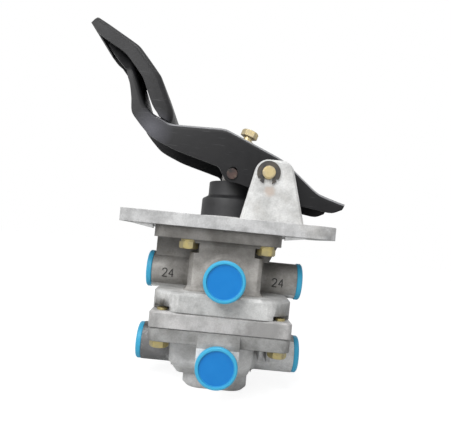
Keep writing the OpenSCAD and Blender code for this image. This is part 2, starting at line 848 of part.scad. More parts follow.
// Open ring that keeps a guide plug in
clip_groove = 1.4;

module guide_clip(z_top) {
    translate([0, 0, z_top - guide_clip_t]) linear_extrude(guide_clip_t) difference() {
        circle(d = chamber_bore + 2 * clip_groove - 2 * rest_gap, $fn = 72);
        circle(d = chamber_bore - 4, $fn = 72);
        translate([0, -4]) square([chamber_bore, 8]);
    }
}

valve_room = 7.5;
valve_spring_d = valve_stem_d + 6.2;
stem_beyond = 2.4;
guide_up = seat_up - valve_disc_t - valve_room;
relay_top = z_joint_up + 3;
socket_depth = 5.5;
upper_stem_end = relay_top - socket_depth + 2;

module upper_valve_head() color(black_rubber) valve_head(seat_up, upper_stem_end);
module upper_valve_guide() color(steel) valve_guide(guide_up);
module upper_guide_clip() color(dark_steel) guide_clip(guide_up - guide_t);
module upper_valve_spring() color(dark_steel)
    coil(valve_spring_d, 1.4, guide_up + spring_step, seat_up - valve_disc_t - spring_step, 2.6);

// Relay piston: wide disc between the circuits, with the lower valve's push tube
relay_h = 9;
relay_d = relay_bore - 2 * slide_gap;
relay_under = relay_top - relay_h;
relay_groove_deep = 3.5;
relay_rim = 9;
relay_recess_w = 8;
web_low = z_port_low + 3;
seat_low = web_low - seat_web - seat_lip;

module relay_piston() color(cast_plate) {
    groove_z = relay_top - relay_h / 2;
    groove_h = 3.6;
    difference() {
        union() {
            disc(relay_d, relay_under, relay_top, 96);
            disc(stem_d, seat_low + valve_gap, relay_top - cut);
            disc(2 * stem_d, relay_under - 2, relay_top - cut);
        }
        disc(valve_stem_d + 2 * slide_gap, relay_top - socket_depth, relay_top + cut);
        disc(valve_vent_d, seat_low, relay_top + cut, 48);
        ring(relay_bore + cut, relay_bore - 2 * relay_groove_deep,
            groove_z - groove_h / 2, groove_z + groove_h / 2, 96);
        ring(relay_d - 2 * relay_rim, relay_d - 2 * (relay_rim + relay_recess_w),
            relay_top - 2, relay_top + cut, 96);
    }
}

module relay_seal() color(black_rubber) {
    section = 3.1;
    o_ring(relay_bore - section - 2 * rest_gap, section, relay_top - relay_h / 2);
}

relay_step_h = 5;
relay_spring_in = 2.5;

module relay_return_spring() color(dark_steel)
    coil(relay_step_d - 2 * relay_spring_in, 2, z_joint_low - relay_step_h + spring_step,
        relay_under - spring_step, 2.7);

guide_low = seat_low - valve_disc_t - valve_room;
low_bore_room = 2.6;
low_bore_end = guide_low - guide_t - guide_clip_t - low_bore_room;
lower_stem_end = guide_low - guide_t - stem_beyond;

module lower_valve_head() color(black_rubber) valve_head(seat_low, lower_stem_end);
module lower_valve_guide() color(steel) valve_guide(guide_low);
module lower_guide_clip() color(dark_steel) guide_clip(guide_low - guide_t);
module lower_valve_spring() color(dark_steel)
    coil(valve_spring_d, 1.4, guide_low + spring_step, seat_low - valve_disc_t - spring_step, 2.6);

// Exhaust: a spoked ring in the neck holds a rubber flap
exhaust_d = 44;
retainer_t = 3;
flap_t = 1.6;
retainer_z = z_neck + flap_t + 1;
flap_stem_d = 5;

module exhaust_retainer() color(black_paint) {
    translate([0, 0, retainer_z]) linear_extrude(retainer_t) {
        difference() {
            circle(d = exhaust_d, $fn = 96);
            circle(d = exhaust_d - 7, $fn = 96);
        }
        difference() {
            union() {
                circle(d = 13, $fn = 48);
                for (a = [0:60:120]) {
                    rotate(a) square([exhaust_d - 5, 3.2], center = true);
                }
            }
            circle(d = flap_stem_d, $fn = 32);
        }
    }
}

module exhaust_flap() color(black_rubber) {
    disc(exhaust_d - 4, retainer_z - flap_t, retainer_z, 72);
    disc(flap_stem_d, retainer_z - cut, retainer_z + retainer_t + 0.5, 32);
    disc(flap_stem_d + 3, retainer_z + retainer_t, retainer_z + retainer_t + 1.6, 32);
}

// Fastener places
bracket_bolt_x = top_flange_x1 - 12.5;
bracket_bolt_y = top_flange_w / 2 - 8;
plate_screw_x = body_bolt_at - 15.5;
plate_screw_y = body_bolt_at + 0.5;
plate_screw_head_d = 10;
plate_screw_head_h = 6;
plate_screw_sink = 0.5;
screw_seat = z_joint_low + plate_screw_sink + plate_screw_head_h;
washer_t = 2;
bolt_head_h = 5.5;
notch_r = 9.5;
notch_h = 3.5;
notch_at = body_bolt_at + 2;

// Upper body: the outside of the casting
module upper_body_outside() {
    h = flange_w / 2;
    b = block_up_l / 2;
    d = block_w / 2;
    wall = 10;
    web_y = [-24, 30];
    gusset_half = 28;
    gusset_foot = 5.5;
    translate([0, 0, -top_flange_t]) linear_extrude(top_flange_t) round_rect(
        -top_flange_x0, top_flange_x1, -top_flange_w / 2, top_flange_w / 2, [8, 14, 14, 8]);
    translate([0, 0, z_ledge - cut]) linear_extrude(-z_ledge - top_flange_t + 2 * cut) {
        round_rect(-b, b, -d, d, [4, 4, 4, 4]);
        round_rect(-boss_up_reach + 1.5, 0, web_y[0], web_y[1], [5, 0.5, 0.5, 5]);
    }
    disc(piston_bore + 2 * wall, z_ledge - cut, -top_flange_t + cut, 96);
    for (side = ["left", "right"]) {
        translate([0, 0, z_port_up]) facing(side) cylinder(d = boss_d, h = boss_up_reach, $fn = 64);
    }
    translate([0, 0, z_port_up]) facing("front")
        cylinder(d = boss_d, h = boss_front_reach, $fn = 64);
    across(-gusset_half, gusset_half) polygon([
        [b - cut, -top_flange_t + cut], [top_flange_x1 - 2, -top_flange_t + cut],
        [b + gusset_foot, z_port_up + boss_d / 2], [b - cut, z_port_up + boss_d / 2]
    ]);
    translate([0, 0, z_joint_up]) linear_extrude(ledge_t - ledge_edge) flange_outline(ledge_r);
    hull() {
        translate([0, 0, z_ledge - ledge_edge - skin]) linear_extrude(skin)
            flange_outline(ledge_r);
        translate([0, 0, z_ledge - skin]) linear_extrude(skin)
            flange_outline(ledge_r - ledge_edge, ledge_edge);
    }
}

module upper_body() color(cast_body) {
    screw_hole = 9.5;
    pocket_z = -top_flange_t - washer_t - bolt_head_h - 2.5;
    difference() {
        upper_body_outside();
        disc(piston_bore, web_up, cut, 96);
        disc(seat_d, seat_up - cut, web_up + cut);
        disc(chamber_bore, z_joint_up - cut, web_up - seat_web, 96);
        disc(chamber_bore + 2 * clip_groove, guide_up - guide_t - guide_clip_t,
            guide_up - guide_t, 96);
        disc(relay_bore, z_joint_up - cut, relay_top + rest_gap, 96);
        port_bore("left", z_port_up, boss_up_reach);
        port_bore("right", z_port_up, boss_up_reach);
        port_bore("front", z_port_up, boss_front_reach);
        passage("left", z_port_up - passage_off, boss_up_reach, chamber_bore / 2);
        passage("right", z_port_up + passage_off, boss_up_reach, piston_bore / 2);
        passage("front", z_port_up + passage_off, boss_front_reach, piston_bore / 2);
        translate([0, piston_bore / 2 - 1, 0]) disc(5, z_joint_up, web_up + cut, 32);
        for (sx = [-1, 1], sy = [-1, 1]) {
            translate([sx * bracket_bolt_x, sy * bracket_bolt_y, 0]) {
                disc(bracket_bolt_d, -top_flange_t - cut, cut, 48);
                disc(bracket_bolt_af + 6, pocket_z, -top_flange_t, 48);
            }
            translate([sx * plate_screw_x, sy * plate_screw_y, 0])
                disc(plate_screw_d, z_joint_up - cut, z_joint_up + screw_hole, 32);
        }
        for (sx = [-1, 1], sy = [-1, 1]) {
            translate([sx * notch_at, sy * notch_at, 0])
                disc(2 * notch_r, z_joint_up - cut, z_joint_up + notch_h, 48);
        }
    }
    difference() {
        disc(seat_d + 2 * seat_rim, seat_up, web_up - seat_web + bite);
        disc(seat_d, seat_up - cut, web_up);
    }
}

// A groove for a joint seal, sunk from a face
seal_section = 2.5;
seal_mean_d = relay_bore + 9;

module seal_groove(z_face) {
    depth = seal_section + rest_gap;
    ring(seal_mean_d + seal_section, seal_mean_d - seal_section, z_face - depth, z_face + cut, 96);
}

module middle_plate() color(cast_plate) {
    difference() {
        union() {
            translate([0, 0, z_joint_low]) linear_extrude(middle_t - flange_edge)
                flange_outline(middle_corner_r);
            hull() {
                translate([0, 0, z_joint_up - flange_edge - skin]) linear_extrude(skin)
                    flange_outline(middle_corner_r);
                translate([0, 0, z_joint_up - skin]) linear_extrude(skin)
                    flange_outline(middle_corner_r, flange_edge);
            }
        }
        disc(relay_bore, z_joint_low - cut, z_joint_up + cut, 96);
        seal_groove(z_joint_up);
        at_body_bolts() disc(body_bolt_d, z_joint_low - cut, z_joint_up + cut, 48);
        for (sx = [-1, 1], sy = [-1, 1]) {
            translate([sx * plate_screw_x, sy * plate_screw_y, 0]) {
                disc(plate_screw_d, z_joint_low - cut, z_joint_up + cut, 32);
                disc(plate_screw_head_d, z_joint_low - cut, screw_seat, 32);
            }
        }
    }
}

// Outline of the exhaust neck, drawn smaller by an inset
module neck_outline(inset) {
    r = 15 - inset;
    x = neck_l / 2 - inset;
    y = neck_w / 2 - inset;
    round_rect(-x, x, -y, y, [r, r, r, r]);
}

module lower_body_outside() {
    slope_h = 12;
    pad_slope = 6.5;
    d = block_low_y;
    neck_edge = 2.5;
    corners = [5, 16, 16, 5];
    pad_half = boss_d / 2 + 1;
    pad_front = -boss_front_reach + 1;
    translate([0, 0, z_flange_low]) linear_extrude(low_flange_t - flange_edge)
        flange_outline(flange_r);
    hull() {
        translate([0, 0, z_joint_low - flange_edge - skin]) linear_extrude(skin)
            flange_outline(flange_r);
        translate([0, 0, z_joint_low - skin]) linear_extrude(skin)
            flange_outline(flange_r, flange_edge);
    }
    translate([0, 0, z_block_low + slope_h]) linear_extrude(low_block_h - slope_h + cut)
        round_rect(-block_low_x0, block_low_x1, -d, d, corners);
    hull() {
        translate([0, 0, z_block_low + slope_h]) linear_extrude(skin)
            round_rect(-block_low_x0, block_low_x1, -d, d, corners);
        translate([0, 0, z_block_low]) linear_extrude(skin)
            round_rect(-block_low_x0 + 6, block_low_x1 - 2, -d + 13, d - 13, corners);
    }
    for (side = ["left", "right"]) {
        translate([0, 0, z_port_low]) facing(side)
            cylinder(d = boss_d + 2, h = boss_low_reach, $fn = 64);
    }
    translate([0, 0, z_port_low]) facing("front")
        cylinder(d = boss_d, h = boss_front_reach, $fn = 64);
    rotate([90, 0, 90]) translate([0, 0, -pad_half]) linear_extrude(2 * pad_half) polygon([
        [-d, z_joint_low - bite], [-flange_w / 2 + flange_edge, z_joint_low - bite],
        [pad_front, z_joint_low - pad_slope], [pad_front, z_port_low], [-d, z_port_low]
    ]);
    translate([0, 0, z_neck + neck_edge]) linear_extrude(neck_h - neck_edge + cut) neck_outline(0);
    hull() {
        translate([0, 0, z_neck + neck_edge]) linear_extrude(skin) neck_outline(0);
        translate([0, 0, z_neck]) linear_extrude(skin) neck_outline(neck_edge);
    }
    for (x = [block_low_x1 + 3, block_low_x1 + 9]) {
        translate([x, -d + 5, z_port_low]) cube([3, d, z_flange_low - z_port_low + cut]);
    }
}

module lower_body() color(cast_body) {
    difference() {
        lower_body_outside();
        disc(relay_step_d, z_joint_low - relay_step_h, z_joint_low + cut, 96);
        disc(low_chamber_d, web_low, z_joint_low + cut, 96);
        disc(seat_d, seat_low - cut, web_low + cut);
        disc(chamber_bore, low_bore_end - cut, web_low - seat_web, 96);
        disc(chamber_bore + 2 * clip_groove, guide_low - guide_t - guide_clip_t,
            guide_low - guide_t, 96);
        disc(exhaust_d, z_neck - cut, low_bore_end, 96);
        seal_groove(z_joint_low);
        port_bore("left", z_port_low, boss_low_reach);
        port_bore("right", z_port_low, boss_low_reach);
        port_bore("front", z_port_low, boss_front_reach);
        passage("left", z_port_low - passage_off, boss_low_reach, chamber_bore / 2);
        passage("right", z_port_low + passage_off, boss_low_reach, low_chamber_d / 2);
        passage("front", z_port_low + passage_off, boss_front_reach, low_chamber_d / 2);
        at_body_bolts() disc(body_bolt_d, z_flange_low - cut, z_joint_low + cut, 48);
    }
    difference() {
        disc(seat_d + 2 * seat_rim, seat_low, web_low - seat_web + bite);
        disc(seat_d, seat_low - cut, web_low);
    }
}

module joint_seals() color(black_rubber) {
    for (z = [z_joint_up, z_joint_low]) {
        o_ring(seal_mean_d, seal_section, z - seal_section / 2 - rest_gap);
    }
}

module bracket_bolts() color(zinc_yellow) {
    shank_end = plate_t - 3;
    under = -top_flange_t - washer_t;
    for (sx = [-1, 1], sy = [-1, 1]) {
        translate([sx * bracket_bolt_x, sy * bracket_bolt_y, 0]) {
            disc(bracket_bolt_d, under - cut, shank_end, 48);
            hex(bracket_bolt_af, under - bolt_head_h, under);
        }
    }
}

// Split spring washers under the bracket bolts
module bracket_washers() color(zinc_yellow) {
    for (sx = [-1, 1], sy = [-1, 1]) {
        translate([sx * bracket_bolt_x, sy * bracket_bolt_y, -top_flange_t - washer_t])
            linear_extrude(washer_t) difference() {
                circle(d = bracket_bolt_af - 0.2, $fn = 48);
                circle(d = bracket_bolt_d, $fn = 48);
                rotate(35) translate([0, -0.4]) square([bracket_bolt_af, 0.8]);
            }
    }
}

module body_bolts() color(zinc_yellow) {
    proud = 1.6;
    at_body_bolts() {
        disc(body_bolt_d, z_flange_low - cut, z_joint_up + proud, 48);
        hex(body_bolt_af, z_flange_low - bolt_head_h, z_flange_low);
    }
}

// Socket screws from below the middle plate into the upper body
module plate_screws() color(dark_steel) {
    socket_af = 5;
    head_z = z_joint_low + plate_screw_sink;
    screw_end = z_joint_up + 8.5;
    for (sx = [-1, 1], sy = [-1, 1]) {
        translate([sx * plate_screw_x, sy * plate_screw_y, 0]) difference() {
            union() {
                disc(plate_screw_head_d - 0.4, head_z, screw_seat, 32);
                disc(plate_screw_d, head_z + cut, screw_end, 32);
            }
            hex(socket_af, head_z - cut, head_z + plate_screw_head_h / 2);
        }
    }
}

// Protective cap: plug in the port, disc with a raised rim outside
module port_cap(side, z, reach) {
    rim = 2.8;
    sink = 1.4;
    plug_l = 8;
    translate([0, 0, z]) facing(side) translate([0, 0, reach]) difference() {
        union() {
            rotate_extrude($fn = 72) polygon([
                [0, 0], [cap_d / 2 - 0.6, 0], [cap_d / 2, 0.6], [cap_d / 2, cap_t - 1],
                [cap_d / 2 - 1, cap_t], [cap_d / 2 - rim + 0.4, cap_t],
                [cap_d / 2 - rim, cap_t - sink], [0, cap_t - sink]
            ]);
            translate([0, 0, -plug_l]) cylinder(d = port_d - 0.8, h = plug_l + 1, $fn = 64);
        }
        translate([0, 0, -plug_l - cut]) cylinder(d = port_d - 4.5, h = plug_l + cut, $fn = 48);
    }
}

module cap_upper_front() color(cap_blue) port_cap("front", z_port_up, boss_front_reach);
module cap_upper_left() color(cap_blue) port_cap("left", z_port_up, boss_up_reach);
module cap_upper_right() color(cap_blue) port_cap("right", z_port_up, boss_up_reach);
module cap_lower_front() color(cap_blue) port_cap("front", z_port_low, boss_front_reach);
module cap_lower_left() color(cap_blue) port_cap("left", z_port_low, boss_low_reach);
module cap_lower_right() color(cap_blue) port_cap("right", z_port_low, boss_low_reach);

mounting_bracket();
pivot_pin();
pivot_clip_near();
pivot_clip_far();
pedal_arm();
pedal_pad();
pivot_tube();
pivot_bushes();
cross_pin();
roller_fork();
pressure_roller();
adjusting_screw();
adjusting_lock_nut();
dust_boot();
plunger();
plunger_guide_bush();
graduating_spring();
graduating_piston();
piston_seal();
piston_return_spring();
upper_valve_head();
upper_valve_spring();
upper_valve_guide();
upper_guide_clip();
relay_piston();
relay_seal();
relay_return_spring();
lower_valve_head();
lower_valve_spring();
lower_valve_guide();
lower_guide_clip();
exhaust_retainer();
exhaust_flap();
upper_body();
middle_plate();
lower_body();
joint_seals();
bracket_bolts();
bracket_washers();
body_bolts();
plate_screws();
cap_upper_front();
cap_upper_left();
cap_upper_right();
cap_lower_front();
cap_lower_left();
cap_lower_right();
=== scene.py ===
import math

import bmesh
import bpy
from mathutils import Matrix, Vector


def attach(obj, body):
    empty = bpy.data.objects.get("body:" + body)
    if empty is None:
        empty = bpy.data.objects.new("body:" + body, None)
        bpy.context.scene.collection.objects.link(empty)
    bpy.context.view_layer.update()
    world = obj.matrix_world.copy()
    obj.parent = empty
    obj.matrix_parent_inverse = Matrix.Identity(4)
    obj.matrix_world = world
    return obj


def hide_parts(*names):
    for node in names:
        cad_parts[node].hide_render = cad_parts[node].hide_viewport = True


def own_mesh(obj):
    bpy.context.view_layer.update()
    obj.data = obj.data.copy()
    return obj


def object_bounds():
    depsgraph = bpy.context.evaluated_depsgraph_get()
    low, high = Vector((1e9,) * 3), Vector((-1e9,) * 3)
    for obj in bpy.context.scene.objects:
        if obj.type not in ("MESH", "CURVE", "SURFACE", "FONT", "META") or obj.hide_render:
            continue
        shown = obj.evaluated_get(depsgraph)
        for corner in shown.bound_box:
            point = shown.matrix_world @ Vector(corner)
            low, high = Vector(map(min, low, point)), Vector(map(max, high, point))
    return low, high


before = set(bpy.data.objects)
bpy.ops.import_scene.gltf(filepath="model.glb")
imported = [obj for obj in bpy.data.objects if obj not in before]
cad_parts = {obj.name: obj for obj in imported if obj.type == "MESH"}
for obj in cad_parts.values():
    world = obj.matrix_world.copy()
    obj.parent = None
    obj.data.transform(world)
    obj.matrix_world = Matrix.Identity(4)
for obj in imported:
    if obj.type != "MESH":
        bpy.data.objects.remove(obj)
cad_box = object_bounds()

# Mounting bracket: one chill casting of aluminium, left as cast. Its plate lies on the cab
# floor, its lugs carry the pedal, and the collar inside the boot's rim guides the plunger.


def shader_group(name, inputs, outputs):
    """An effect shared by several finishes: returns the group with its two end nodes."""
    group = bpy.data.node_groups.new(name, "ShaderNodeTree")
    for label, kind, value in inputs:
        socket = group.interface.new_socket(name=label, in_out="INPUT", socket_type=kind)
        socket.default_value = value
    for label, kind in outputs:
        group.interface.new_socket(name=label, in_out="OUTPUT", socket_type=kind)
    return group, group.nodes.new("NodeGroupInput"), group.nodes.new("NodeGroupOutput")


def join(tree, *pairs):
    """Links sockets pair by pair."""
    for out, into in pairs:
        tree.links.new(out, into)


def band(tree, value, low, high, to_low=0.0, to_high=1.0):
    """Stretches a value between two limits."""
    node = tree.nodes.new("ShaderNodeMapRange")
    for key, number in zip(("From Min", "From Max", "To Min", "To Max"), (low, high, to_low, to_high)):
        node.inputs[key].default_value = number
    tree.links.new(value, node.inputs["Value"])
    return node.outputs["Result"]


def blend_colour(tree, share, a, b, mode="MIX"):
    """Mixes two colours by a share, each a socket or a plain colour."""
    node = tree.nodes.new("ShaderNodeMix")
    node.data_type = "RGBA"
    node.blend_type = mode
    for socket, value in zip((node.inputs[0], node.inputs[6], node.inputs[7]), (share, a, b)):
        if isinstance(value, bpy.types.NodeSocket):
            tree.links.new(value, socket)
        else:
            socket.default_value = value
    return node.outputs[2]


def noise(tree, where, scale, detail=3.0, rough=0.55):
    """A noise texture whose scale is a socket or a number."""
    node = tree.nodes.new("ShaderNodeTexNoise")
    node.inputs["Detail"].default_value = detail
    node.inputs["Roughness"].default_value = rough
    tree.links.new(where, node.inputs["Vector"])
    if isinstance(scale, bpy.types.NodeSocket):
        tree.links.new(scale, node.inputs["Scale"])
    else:
        node.inputs["Scale"].default_value = scale
    return node.outputs["Fac"]


def cast_skin():
    """Cast aluminium: patches of lighter and darker skin, brown stains, pits and grain, and painted shade with grime
    above a given height.
    """
    tree, given, made = shader_group(
        "cast_skin",
        [
            ("Light Skin", "NodeSocketColor", (0.7, 0.7, 0.7, 1)),
            ("Dark Skin", "NodeSocketColor", (0.4, 0.4, 0.4, 1)),
            ("Stain", "NodeSocketColor", (0.2, 0.13, 0.07, 1)),
            ("Stain Share", "NodeSocketFloat", 0.3),
            ("Patch Scale", "NodeSocketFloat", 45.0),
            ("Grain Scale", "NodeSocketFloat", 900.0),
            ("Brushed Below", "NodeSocketFloat", -1.0),
            ("Brushed Skin", "NodeSocketColor", (0.6, 0.6, 0.6, 1)),
            ("Shade And Grime Above", "NodeSocketFloat", 1.0),
            ("Mark", "NodeSocketColor", (0.1, 0.08, 0.06, 1)),
            ("Mark At", "NodeSocketVector", (0, 0, 1)),
            ("Mark Reach", "NodeSocketFloat", 0.01),
            ("Roughness", "NodeSocketFloat", 0.5),
        ],
        [("Colour", "NodeSocketColor"), ("Roughness", "NodeSocketFloat"), ("Height", "NodeSocketFloat")],
    )
    place = tree.nodes.new("ShaderNodeTexCoord").outputs["Object"]
    patches = band(tree, noise(tree, place, given.outputs["Patch Scale"], 5.0, 0.65), 0.36, 0.62)
    level = tree.nodes.new("ShaderNodeSeparateXYZ")
    tree.links.new(place, level.inputs[0])
    above = tree.nodes.new("ShaderNodeMath")
    above.operation = "GREATER_THAN"
    join(tree, (level.outputs["Z"], above.inputs[0]), (given.outputs["Brushed Below"], above.inputs[1]))
    light = blend_colour(tree, above.outputs[0], given.outputs["Brushed Skin"], given.outputs["Light Skin"])
    handled = blend_colour(tree, 0.45, given.outputs["Brushed Skin"], (0.05, 0.05, 0.05, 1))
    dark = blend_colour(tree, above.outputs[0], handled, given.outputs["Dark Skin"])
    skin = blend_colour(tree, patches, dark, light)
    grain = noise(tree, place, given.outputs["Grain Scale"], 2.0)
    speckled = blend_colour(tree, band(tree, grain, 0.35, 0.7, 0.0, 0.16), skin, (0.08, 0.075, 0.07, 1))
    blots = band(tree, noise(tree, place, 21.0, 4.0, 0.7), 0.56, 0.74)
    share = tree.nodes.new("ShaderNodeMath")
    share.operation = "MULTIPLY"
    join(tree, (blots, share.inputs[0]), (given.outputs["Stain Share"], share.inputs[1]))
    stained = blend_colour(tree, share.outputs[0], speckled, given.outputs["Stain"])
    # Painted shade with grime: the skin turns darker above the given height, where the faces lie under the bracket's
    # plate.
    over = tree.nodes.new("ShaderNodeMath")
    over.operation = "SUBTRACT"
    join(tree, (level.outputs["Z"], over.inputs[0]), (given.outputs["Shade And Grime Above"], over.inputs[1]))
    shade_and_grime = band(tree, over.outputs[0], -0.008, 0.006, 0.0, 0.55)
    stained = blend_colour(tree, shade_and_grime, stained, (0.05, 0.048, 0.044, 1))
    away = tree.nodes.new("ShaderNodeVectorMath")
    away.operation = "DISTANCE"
    near = tree.nodes.new("ShaderNodeMath")
    near.operation = "DIVIDE"
    join(
        tree,
        (place, away.inputs[0]),
        (given.outputs["Mark At"], away.inputs[1]),
        (away.outputs["Value"], near.inputs[0]),
        (given.outputs["Mark Reach"], near.inputs[1]),
    )
    spread = blend_colour(tree, 0.5, near.outputs[0], noise(tree, place, 260.0, 4.0, 0.7))
    marked = blend_colour(tree, band(tree, spread, 0.45, 0.7, 0.8, 0.0), stained, given.outputs["Mark"])
    pits = tree.nodes.new("ShaderNodeTexVoronoi")
    pits.inputs["Scale"].default_value = 420.0
    tree.links.new(place, pits.inputs["Vector"])
    height = tree.nodes.new("ShaderNodeMath")
    height.operation = "ADD"
    join(tree, (grain, height.inputs[0]), (band(tree, pits.outputs["Distance"], 0.0, 0.28, 0.0, 0.5), height.inputs[1]))
    rough = tree.nodes.new("ShaderNodeMath")
    rough.operation = "ADD"
    join(tree, (given.outputs["Roughness"], rough.inputs[0]), (band(tree, patches, 0.0, 1.0, 0.08, -0.06), rough.inputs[1]))
    join(
        tree,
        (marked, made.inputs["Colour"]),
        (rough.outputs[0], made.inputs["Roughness"]),
        (height.outputs[0], made.inputs["Height"]),
    )
    return tree


effects = {"cast_skin": cast_skin()}


def finish_of(name, effect, values, metallic=0.0, bump=0.0002, edge=0.0006, coat=0.0, ior=1.5):
    """A material whose colour, roughness and relief come from one shared effect."""
    material = bpy.data.materials.new(name)
    material.use_nodes = True
    tree = material.node_tree
    shader = tree.nodes["Principled BSDF"]
    shader.inputs["Metallic"].default_value = metallic
    shader.inputs["Coat Weight"].default_value = coat
    shader.inputs["Coat Roughness"].default_value = 0.2
    shader.inputs["IOR"].default_value = ior
    group = tree.nodes.new("ShaderNodeGroup")
    group.node_tree = effects[effect]
    for label, value in values.items():
        group.inputs[label].default_value = value
    relief = tree.nodes.new("ShaderNodeBump")
    relief.inputs["Distance"].default_value = bump
    relief.inputs["Strength"].default_value = 0.6
    if edge:
        rounded = tree.nodes.new("ShaderNodeBevel")
        rounded.inputs["Radius"].default_value = edge
        rounded.samples = 6
        tree.links.new(rounded.outputs["Normal"], relief.inputs["Normal"])
    join(
        tree,
        (group.outputs["Colour"], shader.inputs["Base Color"]),
        (group.outputs["Roughness"], shader.inputs["Roughness"]),
        (group.outputs["Height"], relief.inputs["Height"]),
        (relief.outputs["Normal"], shader.inputs["Normal"]),
    )
    return material


def dress(material, *names):
    """Gives CAD nodes a finish."""
    for name in names:
        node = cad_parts[name]
        for slot in node.material_slots:
            slot.material = material


pale_cast = finish_of(
    "pale_cast",
    "cast_skin",
    {
        "Light Skin": (0.78, 0.78, 0.77, 1),
        "Dark Skin": (0.52, 0.52, 0.51, 1),
        "Stain": (0.40, 0.34, 0.27, 1),
        "Stain Share": 0.22,
        "Patch Scale": 60.0,
        "Brushed Below": 0.0102,
        "Brushed Skin": (0.62, 0.62, 0.62, 1),
        "Mark": (0.52, 0.43, 0.37, 1),
        "Mark At": (0.028, -0.047, 0.033),
        "Mark Reach": 0.0055,
        "Roughness": 0.45,
    },
    metallic=0.12,
    edge=0.0009,
    ior=1.35,
)
dress(pale_cast, "mounting_bracket")

# Pivot pin and its two open rings: the pin is turned steel with yellow zinc plating, pushed
# through lugs and bushes. A dark spring steel ring snaps into the groove at each end.


def plated_skin():
    """Plated or turned steel: tint that drifts over the surface, fine turning marks, rub."""
    tree, given, made = shader_group(
        "plated_skin",
        [
            ("Plating", "NodeSocketColor", (0.7, 0.6, 0.3, 1)),
            ("Second Tint", "NodeSocketColor", (0.7, 0.5, 0.45, 1)),
            ("Grime", "NodeSocketColor", (0.12, 0.09, 0.06, 1)),
            ("Grime Share", "NodeSocketFloat", 0.3),
            ("Tint Scale", "NodeSocketFloat", 140.0),
            ("Roughness", "NodeSocketFloat", 0.35),
        ],
        [("Colour", "NodeSocketColor"), ("Roughness", "NodeSocketFloat"), ("Height", "NodeSocketFloat")],
    )
    place = tree.nodes.new("ShaderNodeTexCoord").outputs["Object"]
    drift = band(tree, noise(tree, place, given.outputs["Tint Scale"], 2.0), 0.38, 0.62)
    tinted = blend_colour(tree, drift, given.outputs["Plating"], given.outputs["Second Tint"])
    fine = noise(tree, place, 1500.0, 2.0)
    spots = band(tree, noise(tree, place, 260.0, 4.0, 0.7), 0.55, 0.75)
    share = tree.nodes.new("ShaderNodeMath")
    share.operation = "MULTIPLY"
    join(tree, (spots, share.inputs[0]), (given.outputs["Grime Share"], share.inputs[1]))
    rough = tree.nodes.new("ShaderNodeMath")
    rough.operation = "ADD"
    join(
        tree,
        (given.outputs["Roughness"], rough.inputs[0]),
        (band(tree, spots, 0.0, 1.0, 0.0, 0.25), rough.inputs[1]),
        (blend_colour(tree, share.outputs[0], tinted, given.outputs["Grime"]), made.inputs["Colour"]),
        (rough.outputs[0], made.inputs["Roughness"]),
        (fine, made.inputs["Height"]),
    )
    return tree


effects["plated_skin"] = plated_skin()
yellow_zinc = finish_of(
    "yellow_zinc",
    "plated_skin",
    {"Plating": (0.58, 0.47, 0.25, 1), "Second Tint": (0.48, 0.41, 0.28, 1), "Grime Share": 0.5},
    metallic=0.75,
    bump=0.00006,
    edge=0.0003,
)
dark_spring_steel = finish_of(
    "dark_spring_steel",
    "plated_skin",
    {"Plating": (0.05, 0.05, 0.052, 1), "Second Tint": (0.09, 0.08, 0.07, 1), "Roughness": 0.42},
    metallic=0.6,
    bump=0.00005,
    edge=0.0002,
)
dress(yellow_zinc, "pivot_pin")
dress(dark_spring_steel, "pivot_clip_near", "pivot_clip_far")

# Pedal arm: one blank of 3 mm steel sheet, pressed to a channel that bends up into a goose
# neck, painted black. A turned boss with the adjusting screw's thread is welded in its web.


